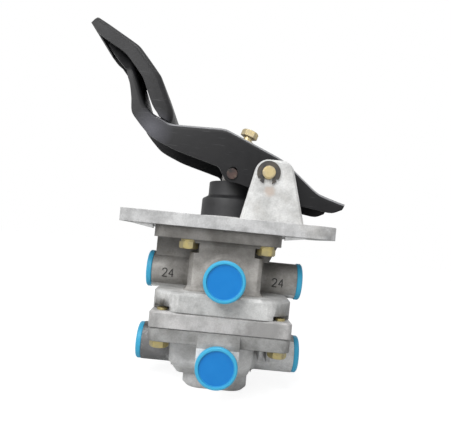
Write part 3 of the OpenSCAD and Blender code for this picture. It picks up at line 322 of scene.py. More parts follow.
def paint_wear_and_sheen():
    """Black paint on pressed steel: slight waviness, dust in patches, thin scratches, and a painted sheen, a lighter
    bluish patch round one point.
    """
    tree, given, made = shader_group(
        "paint_wear_and_sheen",
        [
            ("Paint", "NodeSocketColor", (0.02, 0.02, 0.022, 1)),
            ("Dust", "NodeSocketColor", (0.25, 0.24, 0.23, 1)),
            ("Dust Share", "NodeSocketFloat", 0.2),
            ("Scratches", "NodeSocketFloat", 0.3),
            # Sheen is a painted highlight: lighter bluish paint round Sheen At, fading out over Sheen Reach.
            ("Sheen", "NodeSocketColor", (0.09, 0.09, 0.105, 1)),
            ("Sheen At", "NodeSocketVector", (-0.070, -0.033, 0.075)),
            ("Sheen Reach", "NodeSocketFloat", 0.019),
            ("Roughness", "NodeSocketFloat", 0.38),
        ],
        [("Colour", "NodeSocketColor"), ("Roughness", "NodeSocketFloat"), ("Height", "NodeSocketFloat")],
    )
    place = tree.nodes.new("ShaderNodeTexCoord").outputs["Object"]
    dusty = band(tree, noise(tree, place, 30.0, 6.0, 0.7), 0.42, 0.75)
    dust_share = tree.nodes.new("ShaderNodeMath")
    dust_share.operation = "MULTIPLY"
    join(tree, (dusty, dust_share.inputs[0]), (given.outputs["Dust Share"], dust_share.inputs[1]))
    stretched = tree.nodes.new("ShaderNodeMapping")
    stretched.inputs["Scale"].default_value = (60.0, 60.0, 900.0)
    stretched.inputs["Rotation"].default_value = (0.0, 0.9, 0.2)
    tree.links.new(place, stretched.inputs["Vector"])
    lines = band(tree, noise(tree, stretched.outputs["Vector"], 1.0, 2.0), 0.66, 0.72)
    line_share = tree.nodes.new("ShaderNodeMath")
    line_share.operation = "MULTIPLY"
    join(tree, (lines, line_share.inputs[0]), (given.outputs["Scratches"], line_share.inputs[1]))
    dusted = blend_colour(tree, dust_share.outputs[0], given.outputs["Paint"], given.outputs["Dust"])
    away = tree.nodes.new("ShaderNodeVectorMath")
    away.operation = "DISTANCE"
    near = tree.nodes.new("ShaderNodeMath")
    near.operation = "DIVIDE"
    join(
        tree,
        (place, away.inputs[0]),
        (given.outputs["Sheen At"], away.inputs[1]),
        (away.outputs["Value"], near.inputs[0]),
        (given.outputs["Sheen Reach"], near.inputs[1]),
    )
    # Painted sheen on the bend of the arm, strongest at Sheen At.
    sheen = band(tree, near.outputs[0], 0.1, 1.0, 0.85, 0.0)
    painted_sheen_colour = blend_colour(tree, sheen, dusted, given.outputs["Sheen"])
    colour = blend_colour(tree, line_share.outputs[0], painted_sheen_colour, (0.30, 0.30, 0.31, 1))
    rough = tree.nodes.new("ShaderNodeMath")
    rough.operation = "ADD"
    join(
        tree,
        (given.outputs["Roughness"], rough.inputs[0]),
        (band(tree, dusty, 0.0, 1.0, 0.0, 0.22), rough.inputs[1]),
        (colour, made.inputs["Colour"]),
        (rough.outputs[0], made.inputs["Roughness"]),
        (noise(tree, place, 180.0, 3.0), made.inputs["Height"]),
    )
    return tree


effects["paint_wear_and_sheen"] = paint_wear_and_sheen()
# Black paint, with the group's painted sheen on the arm's bend.
black_paint = finish_of(
    "black_paint",
    "paint_wear_and_sheen",
    {"Paint": (0.007, 0.007, 0.008, 1), "Dust Share": 0.03, "Scratches": 0.1, "Roughness": 0.42},
    bump=0.0002,
    edge=0.0,
    coat=0.05,
    ior=1.3,
)

# Lighter paint on strips along the arm's folds: a painted highlight on the fold's edge, with dust and scratches in it.
fold_highlight_paint = finish_of(
    "fold_highlight_paint",
    "paint_wear_and_sheen",
    {"Paint": (0.19, 0.19, 0.20, 1), "Dust": (0.5, 0.5, 0.52, 1), "Dust Share": 0.5, "Scratches": 0.4},
    bump=0.0002,
    edge=0.0,
    coat=0.1,
    ior=1.45,
)

ARM_HALF, ARM_WALL, ARM_FOLD = 33.0, 3.0, 4.5
# Strips in the middle of both folds that take the painted highlight.
FOLD_HIGHLIGHT_STRIPS = (4, 5, 6, 12, 13, 14)
PAD_WALL, PAD_FOLD = 2.5, 5.0
WELD_A, WELD_B = (-55, 82), (-64.6, 86.2)
arm_path = [
    ((91, 30.3), (88.4, 25.2), ARM_HALF),
    ((86, 31.6), (81.2, 22.2), ARM_HALF),
    ((71, 36.3), (69, 23.4), ARM_HALF),
    ((66.5, 38.8), (63, 24.2), ARM_HALF),
    ((62.5, 41.9), (57.3, 24.9), ARM_HALF),
    ((41.5, 58.8), (37, 27), ARM_HALF),
    ((37.2, 61.6), (31, 29), ARM_HALF),
    ((32, 64.1), (24, 31.5), ARM_HALF),
    ((12, 72.614), (11, 36.4), ARM_HALF),
    ((2, 76.871), (2, 38.8), ARM_HALF),
    ((-3, 79), (-4.6, 39.4), ARM_HALF),
    ((-7, 80.6), (-8.2, 42.6), ARM_HALF),
    ((-10.5, 81.7), (-12.8, 49.8), ARM_HALF),
    ((-15, 82), (-17, 51.6), ARM_HALF),
    ((-50, 81.6), (-48, 60.2), ARM_HALF),
    (WELD_A, (-57, 63.7), ARM_HALF),
    ((-59.8, 84.1), (-65, 67.2), ARM_HALF),
    (WELD_B, (-71, 70.6), ARM_HALF),
    ((-70, 88.8), (-76, 75.2), ARM_HALF),
    ((-74.8, 93.2), (-81.5, 81), ARM_HALF),
    ((-78.4, 98.8), (-86.4, 87.6), ARM_HALF),
    ((-81.8, 107), (-88, 99), ARM_HALF - 0.4),
    ((-84.6, 114.6), (-90.4, 110), ARM_HALF - 1.1),
    ((-86.6, 120), (-92.6, 115.4), ARM_HALF - 1.9),
    ((-88.2, 124.4), (-94.6, 121.4), ARM_HALF - 3.2),
    ((-90.4, 131.4), (-98.6, 126.2), 26),
    ((-96.8, 139.4), (-104.4, 132.6), 22),
    ((-104.6, 145.8), (-110, 139), 20),
    ((-111, 149.8), (-114, 144.6), 19),
]


def eased(path, steps):
    """Stations with in-between ones on a curve that stays close to the straight runs."""
    rows = [(Vector((*p, q[0], q[1], half[0] if half else 0.0))) for p, q, *half in path]
    full = []
    for i in range(len(rows) - 1):
        before, a, b, after = rows[max(i - 1, 0)], rows[i], rows[i + 1], rows[min(i + 2, len(rows) - 1)]
        run = (b - a).length
        lean_a = (b - before) * (run / max((a - before).length + run, 1e-6)) if i else b - a
        lean_b = (after - a) * (run / max((after - b).length + run, 1e-6)) if i < len(rows) - 2 else b - a
        for k in range(steps):
            t = k / steps
            full.append(
                a * (2 * t**3 - 3 * t**2 + 1)
                + lean_a * (t**3 - 2 * t**2 + t)
                + b * (3 * t**2 - 2 * t**3)
                + lean_b * (t**3 - t**2)
            )
    return full + [rows[-1]]


def channel(row, half, fold, wall, steps=8):
    """Closed outline of a folded sheet between its web and its walls' lower edges, in metres."""
    p, q = Vector(row[0:2]), Vector(row[2:4])
    depth = (q - p).length
    down = (q - p) / depth
    flat = [(-half, depth)]
    for side, radius in ((-1, fold), (1, fold)):
        for i in range(steps + 1):
            a = math.radians(90 * (i if side < 0 else steps - i) / steps)
            flat.append((side * (half - fold + radius * math.cos(a)), fold - radius * math.sin(a)))
    flat += [(half, depth), (half - wall, depth)]
    for side in (1, -1):
        for i in range(steps + 1):
            a = math.radians(90 * (i if side > 0 else steps - i) / steps)
            flat.append((side * (half - fold + (fold - wall) * math.cos(a)), fold - (fold - wall) * math.sin(a)))
    flat.append((-half + wall, depth))
    return [Vector((p.x + down.x * d, y, p.y + down.y * d)) * 0.001 for y, d in flat]


def skinned(name, sections, highlight_strips=(), highlight_from=-0.066):
    """A mesh drawn over a row of outlines, with closed ends; strips given a painted highlight take the second slot."""
    bm = bmesh.new()
    rings = [[bm.verts.new(point) for point in section] for section in sections]
    size = len(rings[0])
    for a, b in zip(rings, rings[1:]):
        for i in range(size):
            k = (i + 1) % size
            bm.faces.new((a[i], a[k], b[k], b[i])).material_index = int(i in highlight_strips and a[i].co.x > highlight_from)
    for ring in (rings[0], rings[-1]):
        for j in range(size // 2 - 1):
            bm.faces.new((ring[j], ring[j + 1], ring[size - 2 - j], ring[size - 1 - j]))
    bmesh.ops.recalc_face_normals(bm, faces=bm.faces)
    mesh = bpy.data.meshes.new(name)
    bm.to_mesh(mesh)
    bm.free()
    return new_piece(name, mesh)


def prism(name, near, far):
    """A closed prism between two equal outlines of points in mm."""
    bm = bmesh.new()
    rings = [[bm.verts.new(Vector(point) * 0.001) for point in outline] for outline in (near, far)]
    for i, vert in enumerate(rings[0]):
        k = (i + 1) % len(rings[0])
        bm.faces.new((vert, rings[0][k], rings[1][k], rings[1][i]))
    for ring in rings:
        bm.faces.new(ring)
    bmesh.ops.recalc_face_normals(bm, faces=bm.faces)
    mesh = bpy.data.meshes.new(name)
    bm.to_mesh(mesh)
    bm.free()
    return new_piece(name, mesh)


def new_piece(name, mesh, smooth=35):
    """Puts a mesh into the scene, smooth but for its sharp edges."""
    mesh.shade_smooth()
    mesh.set_sharp_from_angle(angle=math.radians(smooth))
    piece = bpy.data.objects.new(name, mesh)
    bpy.context.scene.collection.objects.link(piece)
    return piece


def settled(piece):
    """Bakes a piece's modifiers into its mesh and takes them off."""
    bpy.context.view_layer.update()
    mesh = bpy.data.meshes.new_from_object(piece.evaluated_get(bpy.context.evaluated_depsgraph_get()))
    piece.modifiers.clear()
    piece.data = mesh
    return piece


def drop(piece):
    """Removes a helper object."""
    bpy.data.objects.remove(piece, do_unlink=True)


def taken_in(piece, other):
    """Adds another mesh to a piece as one more closed shell, and removes the other object."""
    bm = bmesh.new()
    bm.from_mesh(piece.data)
    bm.from_mesh(other.data)
    bm.to_mesh(piece.data)
    bm.free()
    drop(other)


def turned(name, outline, place=Matrix.Identity(4), steps=72):
    """A lathe-turned mesh: radius and height pairs in mm round an axis in its place."""
    bm = bmesh.new()
    rings = []
    for r, z in outline:
        ring = []
        for i in range(steps if r > 0 else 1):
            a = 2 * math.pi * i / steps
            ring.append(bm.verts.new(place @ (Vector((r * math.cos(a), r * math.sin(a), z)) * 0.001)))
        rings.append(ring)
    for a, b in zip(rings, rings[1:]):
        for i in range(steps):
            k = (i + 1) % steps
            corners = [a[i % len(a)], a[k % len(a)], b[k % len(b)], b[i % len(b)]]
            unique = list(dict.fromkeys(corners))
            if len(unique) > 2:
                bm.faces.new(unique)
    bmesh.ops.remove_doubles(bm, verts=bm.verts, dist=1e-7)
    bmesh.ops.recalc_face_normals(bm, faces=bm.faces)
    mesh = bpy.data.meshes.new(name)
    bm.to_mesh(mesh)
    bm.free()
    return new_piece(name, mesh)


LEAN = math.radians(17)
ROLLER = (-1.9, 0, 45.6)
BOSS_TOP = 31.87
screw_frame = Matrix.Translation(Vector(ROLLER) * 0.001) @ Matrix.Rotation(LEAN, 4, "Y")
arm = skinned("pedal_arm_skin", [channel(row, row[4], ARM_FOLD, ARM_WALL) for row in eased(arm_path, 4)], FOLD_HIGHLIGHT_STRIPS)
slot_outline = [
    (3.55 * math.cos(math.radians(a)) + lift * math.sin(LEAN), 3.55 * math.sin(math.radians(a)) + lift * math.cos(LEAN))
    for lift, start in ((0, 163), (2.4, -17))
    for a in range(start, start + 181, 12)
]
slot_cutter = prism("slot_cutter", *[[(ROLLER[0] + x, y, ROLLER[2] + z) for x, z in slot_outline] for y in (-36, 36)])
for finish in (black_paint, fold_highlight_paint):
    arm.data.materials.append(finish)
boolean = arm.modifiers.new("slots", "BOOLEAN")
boolean.object = slot_cutter
boolean.solver = "EXACT"
settled(arm)
drop(slot_cutter)
arm.data.shade_smooth()
arm.data.set_sharp_from_angle(angle=math.radians(35))
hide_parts("pedal_arm")
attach(arm, "pedal")

# Pedal pad: a second pressing of 2.5 mm sheet, a tray open at the back. Its foot and its
# side flanges are welded to the arm, and it is painted with it.

pad_path = [
    (WELD_A, WELD_B),
    ((-53.6, 86.4), (-66.8, 89.4)),
    ((-53.6, 89.6), (-68.6, 91.6)),
    ((-54.4, 93.2), (-70.6, 94.6)),
    ((-57.4, 99.8), (-73.8, 101.2)),
    ((-65.2, 117.2), (-79.6, 114.6)),
    ((-67.6, 121), (-82.6, 118.8)),
    ((-83.4, 139.4), (-94.2, 132.2)),
    ((-87.4, 142.9), (-98.6, 135.6)),
    ((-103.4, 152.2), (-108.6, 141.6)),
    ((-112, 157.1), (-118, 147.4)),
    ((-120.3, 161.5), (-125.4, 155.2)),
]
pad = skinned("pedal_pad_skin", [channel(row, ARM_HALF, PAD_FOLD, PAD_WALL) for row in eased(pad_path, 4)])
tread_end, back_end = (Vector(point) for point in pad_path[-1])
inwards = (Vector(pad_path[-2][0]) - tread_end).normalized() * PAD_WALL
half_sheet = (back_end - tread_end).normalized() * (PAD_WALL / 2)
end_outline = [tread_end + half_sheet, back_end, back_end + inwards, tread_end + half_sheet + inwards]
HALF_END = ARM_HALF - PAD_WALL / 2
end_wall = prism("pad_end_wall", *[[(x, y, z) for x, z in end_outline] for y in (-HALF_END, HALF_END)])
taken_in(pad, end_wall)
pad.data.materials.append(black_paint)
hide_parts("pedal_pad")
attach(pad, "pedal")

# Pivot tube and bushes: a steel tube welded across the arm, with a flanged bush of sintered
# bronze pressed into each end. They turn on the pivot pin.

bronze = finish_of(
    "bronze",
    "plated_skin",
    {"Plating": (0.50, 0.33, 0.14, 1), "Second Tint": (0.42, 0.30, 0.16, 1), "Roughness": 0.4},
    metallic=0.8,
    bump=0.00006,
    edge=0.0003,
)
dress(black_paint, "pivot_tube")
dress(bronze, "pivot_bushes")

# Roller, its fork and its pin: a hardened steel roller that presses the plunger, between the
# cheeks of a folded fork. The pin's ends are peened over outside the arm's walls.

turned_steel = finish_of(
    "turned_steel",
    "plated_skin",
    {"Plating": (0.52, 0.51, 0.50, 1), "Second Tint": (0.44, 0.42, 0.40, 1), "Roughness": 0.3},
    metallic=0.85,
    bump=0.00005,
    edge=0.0003,
)
coppered_steel = finish_of(
    "coppered_steel",
    "plated_skin",
    {"Plating": (0.06, 0.032, 0.026, 1), "Second Tint": (0.012, 0.01, 0.01, 1), "Grime Share": 0.8},
    metallic=0.1,
    bump=0.00005,
    edge=0.0003,
)
dress(turned_steel, "roller_fork", "pressure_roller")
dress(coppered_steel, "cross_pin")

# Adjusting screw and lock nut: a hexagon screw with yellow zinc plating, through the arm's
# boss down to the fork. The nut locks it after the free travel is set.


def socket_id(tree, label):
    """The identifier of a tree's named input."""
    return next(i.identifier for i in tree.interface.items_tree if i.name == label and i.in_out == "INPUT")


def geometry_tree(name, inputs):
    """An empty Geometry Nodes tree with named inputs for sizes and a material."""
    tree = bpy.data.node_groups.new(name, "GeometryNodeTree")
    for label, value in inputs.items():
        kind = "NodeSocketInt" if isinstance(value, int) else "NodeSocketFloat"
        tree.interface.new_socket(name=label, in_out="INPUT", socket_type=kind).default_value = value
    tree.interface.new_socket(name="Finish", in_out="INPUT", socket_type="NodeSocketMaterial")
    tree.interface.new_socket(name="Geometry", in_out="OUTPUT", socket_type="NodeSocketGeometry")
    return tree, tree.nodes.new("NodeGroupInput"), tree.nodes.new("NodeGroupOutput")


def sums(tree, operation, a, b):
    """One arithmetic node with sockets or numbers."""
    node = tree.nodes.new("ShaderNodeMath")
    node.operation = operation
    for socket, value in zip(node.inputs, (a, b)):
        if isinstance(value, bpy.types.NodeSocket):
            tree.links.new(value, socket)
        else:
            socket.default_value = value
    return node.outputs[0]


def set_of_bolts():
    """Hexagon heads with chamfered corners and round shanks at the corners of a rectangle."""
    tree, given, made = geometry_tree(
        "set_of_bolts",
        {
            "Spacing X": 0.0,
            "Spacing Y": 0.0,
            "Across Flats": 0.013,
            "Head Height": 0.0055,
            "Shank Diameter": 0.008,
            "Shank Length": 0.02,
            "Rows": 2,
        },
    )
    new = tree.nodes.new
    corner_r = sums(tree, "DIVIDE", given.outputs["Across Flats"], math.sqrt(3))
    head = new("GeometryNodeMeshCylinder")
    head.inputs["Vertices"].default_value = 6
    chamfer = new("GeometryNodeMeshCone")
    chamfer.inputs["Vertices"].default_value = 48
    trim = new("GeometryNodeMeshBoolean")
    trim.operation = "INTERSECT"
    trim.solver = "EXACT"
    low = sums(tree, "MULTIPLY", given.outputs["Head Height"], -1.0)
    seat_head = new("GeometryNodeTransform")
    seat_cone = new("GeometryNodeTransform")
    half_head = new("ShaderNodeCombineXYZ")
    low_head = new("ShaderNodeCombineXYZ")
    shank = new("GeometryNodeMeshCylinder")
    shank.inputs["Vertices"].default_value = 32
    seat_shank = new("GeometryNodeTransform")
    half_shank = new("ShaderNodeCombineXYZ")
    both = new("GeometryNodeJoinGeometry")
    grid = new("GeometryNodeMeshGrid")
    spread = new("GeometryNodeInstanceOnPoints")
    real = new("GeometryNodeRealizeInstances")
    paint = new("GeometryNodeSetMaterial")
    join(
        tree,
        (corner_r, head.inputs["Radius"]),
        (given.outputs["Head Height"], head.inputs["Depth"]),
        (sums(tree, "MULTIPLY", low, 0.5), half_head.inputs["Z"]),
        (head.outputs["Mesh"], seat_head.inputs["Geometry"]),
        (half_head.outputs[0], seat_head.inputs["Translation"]),
        (sums(tree, "MULTIPLY", corner_r, 0.86), chamfer.inputs["Radius Bottom"]),
        (sums(tree, "MULTIPLY", corner_r, 1.65), chamfer.inputs["Radius Top"]),
        (given.outputs["Head Height"], chamfer.inputs["Depth"]),
        (low, low_head.inputs["Z"]),
        (chamfer.outputs["Mesh"], seat_cone.inputs["Geometry"]),
        (low_head.outputs[0], seat_cone.inputs["Translation"]),
        (seat_head.outputs[0], trim.inputs["Mesh 2"]),
        (seat_cone.outputs[0], trim.inputs["Mesh 2"]),
        (sums(tree, "MULTIPLY", given.outputs["Shank Diameter"], 0.5), shank.inputs["Radius"]),
        (sums(tree, "ADD", given.outputs["Shank Length"], 0.001), shank.inputs["Depth"]),
        (sums(tree, "SUBTRACT", sums(tree, "MULTIPLY", given.outputs["Shank Length"], 0.5), 0.0005), half_shank.inputs["Z"]),
        (shank.outputs["Mesh"], seat_shank.inputs["Geometry"]),
        (half_shank.outputs[0], seat_shank.inputs["Translation"]),
        (trim.outputs["Mesh"], both.inputs[0]),
        (seat_shank.outputs[0], both.inputs[0]),
        (given.outputs["Spacing X"], grid.inputs["Size X"]),
        (given.outputs["Spacing Y"], grid.inputs["Size Y"]),
        (given.outputs["Rows"], grid.inputs["Vertices X"]),
        (given.outputs["Rows"], grid.inputs["Vertices Y"]),
        (grid.outputs["Mesh"], spread.inputs["Points"]),
        (both.outputs[0], spread.inputs["Instance"]),
        (spread.outputs[0], real.inputs[0]),
        (real.outputs[0], paint.inputs["Geometry"]),
        (given.outputs["Finish"], paint.inputs["Material"]),
        (paint.outputs[0], made.inputs["Geometry"]),
    )
    return tree


COUNTS = ("Rows", "Turns", "Closed")


def grown(name, tree, sizes, finish, place=Matrix.Identity(4)):
    """Runs a tree with sizes in mm (counts as they are) and keeps a plain mesh in its place."""
    piece = bpy.data.objects.new(name, bpy.data.meshes.new(name))
    bpy.context.scene.collection.objects.link(piece)
    modifier = piece.modifiers.new("grown", "NODES")
    modifier.node_group = tree
    for label, value in sizes.items():
        modifier[socket_id(tree, label)] = value if label in COUNTS else value * 0.001
    modifier[socket_id(tree, "Finish")] = finish
    settled(piece)
    piece.data.transform(place)
    piece.data.shade_smooth()
    piece.data.set_sharp_from_angle(angle=math.radians(30))
    return piece


bolt_tree = set_of_bolts()
HEAD_FROM = BOSS_TOP + 4 + 3.8
upside_down = Matrix.Rotation(math.pi, 4, "X")
screw = grown(
    "adjusting_screw_turned",
    bolt_tree,
    {"Rows": 1, "Across Flats": 13.0, "Head Height": 5.5, "Shank Diameter": 8.0, "Shank Length": HEAD_FROM - 12.5},
    yellow_zinc,
    screw_frame @ Matrix.Translation((0, 0, HEAD_FROM * 0.001)) @ upside_down,
)
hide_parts("adjusting_screw")
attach(screw, "pedal")
dress(yellow_zinc, "adjusting_lock_nut")

boss = turned(
    "screw_boss",
    [(4.0, BOSS_TOP - 8.4), (9.0, BOSS_TOP - 8.4), (9.0, BOSS_TOP - 0.6), (8.4, BOSS_TOP), (4.0, BOSS_TOP), (4.0, BOSS_TOP - 8.4)],
    screw_frame,
)
boss.data.materials.append(black_paint)
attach(boss, "pedal")

# Plunger and its guide bush: a ground steel plunger with a flat head under the roller, in a
# bronze bush pressed into the bracket's collar.

dress(turned_steel, "plunger")
dress(bronze, "plunger_guide_bush")

# Dust boot: moulded black rubber, its foot in the bracket's rim and its top lip over the
# plunger's head. It is pressed together with the plunger.


def rubber_skin():
    """Moulded rubber: bloom in soft patches, dust on it, fine grain."""
    tree, given, made = shader_group(
        "rubber_skin",
        [
            ("Rubber", "NodeSocketColor", (0.012, 0.012, 0.013, 1)),
            ("Bloom", "NodeSocketColor", (0.08, 0.08, 0.085, 1)),
            ("Bloom Share", "NodeSocketFloat", 0.4),
            ("Roughness", "NodeSocketFloat", 0.5),
        ],
        [("Colour", "NodeSocketColor"), ("Roughness", "NodeSocketFloat"), ("Height", "NodeSocketFloat")],
    )
    place = tree.nodes.new("ShaderNodeTexCoord").outputs["Object"]
    soft = band(tree, noise(tree, place, 55.0, 5.0, 0.65), 0.4, 0.75)
    share = sums(tree, "MULTIPLY", soft, given.outputs["Bloom Share"])
    join(
        tree,
        (blend_colour(tree, share, given.outputs["Rubber"], given.outputs["Bloom"]), made.inputs["Colour"]),
        (sums(tree, "ADD", given.outputs["Roughness"], band(tree, soft, 0.0, 1.0, 0.0, 0.2)), made.inputs["Roughness"]),
        (noise(tree, place, 1200.0, 2.0), made.inputs["Height"]),
    )
    return tree


effects["rubber_skin"] = rubber_skin()
rubber = finish_of("rubber", "rubber_skin", {"Bloom Share": 0.35}, bump=0.00008, edge=0.0003)
boot = turned(
    "dust_boot_moulded",
    [
        (26.3, 10.0), (26.3, 11.4), (26.0, 11.9), (25.6, 12.4), (25.5, 14), (25.45, 20), (25.4, 25.6),
        (25.2, 26.5), (24.6, 27.2), (22.6, 28.4), (21.2, 29.3), (20.6, 30.0), (20.4, 31), (20.4, 40.6),
        (20.2, 41.3), (19.7, 41.6), (18.9, 41.6), (18.6, 41.2), (18.6, 39.6), (16.4, 39.4), (16.4, 38.1),
        (18.5, 38.1), (18.6, 30.6), (18.8, 29.6), (23.0, 25.6), (23.5, 24.6), (23.6, 12.6), (22.2, 11.8),
        (22.1, 10.0), (26.3, 10.0),
    ],
    steps=96,
)
boot.data.materials.append(rubber)
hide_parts("dust_boot")
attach(boot, "housing")
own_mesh(boot)

# Springs: cold-wound spring steel wire with closed ends, one under the plunger, one under
# each piston and one under each valve head.


def wire_coil():
    """A wire coil with closed end turns, standing on its base height."""
    tree, given, made = geometry_tree(
        "wire_coil",
        {"Base": 0.0, "Height": 0.04, "Mean Diameter": 0.02, "Wire": 0.002, "Turns": 5.0, "Closed": 0.1},
    )
    new = tree.nodes.new
    spiral = new("GeometryNodeCurveSpiral")
    spiral.inputs["Resolution"].default_value = 40
    spiral.inputs["Height"].default_value = 0.0
    along = new("GeometryNodeSplineParameter").outputs["Factor"]
    wire = given.outputs["Wire"]
    closed = given.outputs["Closed"]
    free = sums(tree, "SUBTRACT", sums(tree, "SUBTRACT", given.outputs["Height"], wire), sums(tree, "MULTIPLY", wire, 1.9))

    def stretch(low, high, rise):
        node = new("ShaderNodeMapRange")
        for socket, value in zip(("From Min", "From Max", "To Max"), (low, high, rise)):
            if isinstance(value, bpy.types.NodeSocket):
                tree.links.new(value, node.inputs[socket])
            else:
                node.inputs[socket].default_value = value
        tree.links.new(along, node.inputs["Value"])
        return node.outputs["Result"]

    last = sums(tree, "SUBTRACT", 1.0, closed)
    end_rise = sums(tree, "MULTIPLY", wire, 0.95)
    lift = sums(
        tree,
        "ADD",
        sums(tree, "ADD", stretch(0.0, closed, end_rise), stretch(closed, last, free)),
        sums(tree, "ADD", stretch(last, 1.0, end_rise), sums(tree, "ADD", given.outputs["Base"], sums(tree, "MULTIPLY", wire, 0.5))),
    )
    offset = new("ShaderNodeCombineXYZ")
    shift = new("GeometryNodeSetPosition")
    profile = new("GeometryNodeCurvePrimitiveCircle")
    profile.inputs["Resolution"].default_value = 12
    sweep = new("GeometryNodeCurveToMesh")
    sweep.inputs["Fill Caps"].default_value = True
    real = new("GeometryNodeRealizeInstances")
    paint = new("GeometryNodeSetMaterial")
    radius = sums(tree, "MULTIPLY", given.outputs["Mean Diameter"], 0.5)
    join(
        tree,
        (given.outputs["Turns"], spiral.inputs["Rotations"]),
        (radius, spiral.inputs["Start Radius"]),
        (radius, spiral.inputs["End Radius"]),
        (lift, offset.inputs["Z"]),
        (spiral.outputs[0], shift.inputs["Geometry"]),
        (offset.outputs[0], shift.inputs["Offset"]),
        (sums(tree, "MULTIPLY", wire, 0.5), profile.inputs["Radius"]),
        (shift.outputs[0], sweep.inputs["Curve"]),
        (profile.outputs[0], sweep.inputs["Profile Curve"]),
        (sweep.outputs[0], real.inputs[0]),
        (real.outputs[0], paint.inputs["Geometry"]),
        (given.outputs["Finish"], paint.inputs["Material"]),
        (paint.outputs[0], made.inputs["Geometry"]),
    )
    return tree


coil_tree = wire_coil()
springs = [
    # node, body, joint, base, height, mean diameter, wire, turns, closed share, travel
    ("graduating_spring", "piston", "plunger_slide", -16.45, 47.9, 16.8, 2.6, 8.5, 0.12, 4.8),
    ("piston_return_spring", "housing", "piston_slide", -34.95, 9.9, 32.0, 1.9, 3.4, 0.26, 3.0),
    ("upper_valve_spring", "housing", "upper_valve_slide", -50.95, 7.4, 19.2, 1.4, 3.4, 0.26, 1.4),
    ("relay_return_spring", "housing", "relay_slide", -82.45, 11.4, 56.0, 2.0, 3.4, 0.26, 2.6),
    ("lower_valve_spring", "housing", "lower_valve_slide", -113.95, 7.4, 19.2, 1.4, 3.4, 0.26, 1.0),
]
for node, body, joint, base, height, mean, wire, turns, closed, travel in springs:
    coil = grown(
        node + "_wound",
        coil_tree,
        {"Base": base, "Height": height, "Mean Diameter": mean, "Wire": wire, "Turns": turns, "Closed": closed},
        dark_spring_steel,
    )
    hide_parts(node)
    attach(coil, body)
    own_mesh(coil)

# Pistons, valve heads, guides and rings inside: machined aluminium pistons with rubber
# rings, rubber-faced valve heads on hollow stems, steel guide plugs and their open rings.

machined_cast = finish_of(
    "machined_cast",
    "cast_skin",
    {
        "Light Skin": (0.50, 0.49, 0.47, 1),
        "Dark Skin": (0.36, 0.35, 0.34, 1),
        "Stain Share": 0.15,
        "Patch Scale": 80.0,
        "Grain Scale": 1200.0,
        "Roughness": 0.42,
    },
    metallic=0.5,
    bump=0.0001,
    edge=0.0006,
)
dress(machined_cast, "graduating_piston", "relay_piston")
dress(rubber, "piston_seal", "relay_seal", "joint_seals", "upper_valve_head", "lower_valve_head")
dress(turned_steel, "upper_valve_guide", "lower_valve_guide")
dress(dark_spring_steel, "upper_guide_clip", "lower_guide_clip")

# Exhaust: a spoked ring of black painted steel pressed into the neck, with a rubber flap
# that hangs from its hub and lets the air out downwards.

dress(black_paint, "exhaust_retainer")
dress(rubber, "exhaust_flap")

# Valve housing: three aluminium castings, the upper body, the middle plate and the lower
# body. Flange joints are machined, the rest is as cast and weathered to a warm grey.

upper_cast = finish_of(
    "upper_cast",
    "cast_skin",
    {
        "Light Skin": (0.42, 0.405, 0.385, 1),
        "Dark Skin": (0.22, 0.21, 0.195, 1),
        "Stain": (0.13, 0.085, 0.05, 1),
        "Stain Share": 0.4,
        "Patch Scale": 48.0,
        "Brushed Below": -0.0492,
        "Brushed Skin": (0.64, 0.64, 0.63, 1),
        # Painted shade with grime on the faces above this height, under the bracket's plate.
        "Shade And Grime Above": -0.0235,
        "Mark": (0.05, 0.045, 0.04, 1),
        "Mark At": (-0.046, -0.053, -0.0625),
        "Mark Reach": 0.009,
        "Roughness": 0.45,
    },
    metallic=0.08,
    edge=0.0012,
    ior=1.3,
)
lower_cast = finish_of(
    "lower_cast",
    "cast_skin",
    {
        "Light Skin": (0.37, 0.37, 0.365, 1),
        "Dark Skin": (0.17, 0.17, 0.165, 1),
        "Stain": (0.16, 0.11, 0.07, 1),
        "Stain Share": 0.3,
        "Patch Scale": 40.0,
        "Brushed Below": -0.0885,
        "Brushed Skin": (0.76, 0.76, 0.76, 1),
        "Mark": (0.07, 0.07, 0.072, 1),
        "Mark At": (-0.054, -0.012, -0.104),
        "Mark Reach": 0.032,
        "Roughness": 0.48,
    },
    metallic=0.08,
    edge=0.0012,
    ior=1.3,
)
plate_cast = finish_of(
    "plate_cast",
    "cast_skin",
    {
        "Light Skin": (0.58, 0.57, 0.565, 1),
        "Dark Skin": (0.34, 0.335, 0.33, 1),
        "Stain Share": 0.2,
        "Mark": (0.26, 0.255, 0.25, 1),
        "Mark At": (0.034, -0.053, -0.073),
        "Mark Reach": 0.024,
        "Patch Scale": 50.0,
        "Roughness": 0.42,
    },
    metallic=0.1,
    edge=0.0009,
    ior=1.3,
)
dress(plate_cast, "middle_plate")


def grown_outline(box, radii, grow, z, steps=6):
    """Points of a box with round corners, grown outwards and set at a height, in mm."""
    x0, x1, y0, y1 = box
    corners = ((x0, y0, 1, 1, 180), (x1, y0, -1, 1, 270), (x1, y1, -1, -1, 0), (x0, y1, 1, -1, 90))
    points = []
    for (x, y, sx, sy, start), r in zip(corners, radii):
        for i in range(steps + 1):
            a = math.radians(start + 90 * i / steps)
            reach = max(r + grow, 0.2)
            points.append((x + sx * r + reach * math.cos(a), y + sy * r + reach * math.sin(a), z))
    return points


def fillet_profile(radius):
    """Offset and height pairs of a hollow fillet, closed behind the two faces that it joins."""
    arc = [math.radians(15 * i) for i in range(7)]
    hollow = [(radius * (1 - math.sin(a)), radius * (1 - math.cos(a))) for a in arc]
    return [(radius, -0.4)] + hollow + [(-0.8, radius), (-0.8, -0.4)]


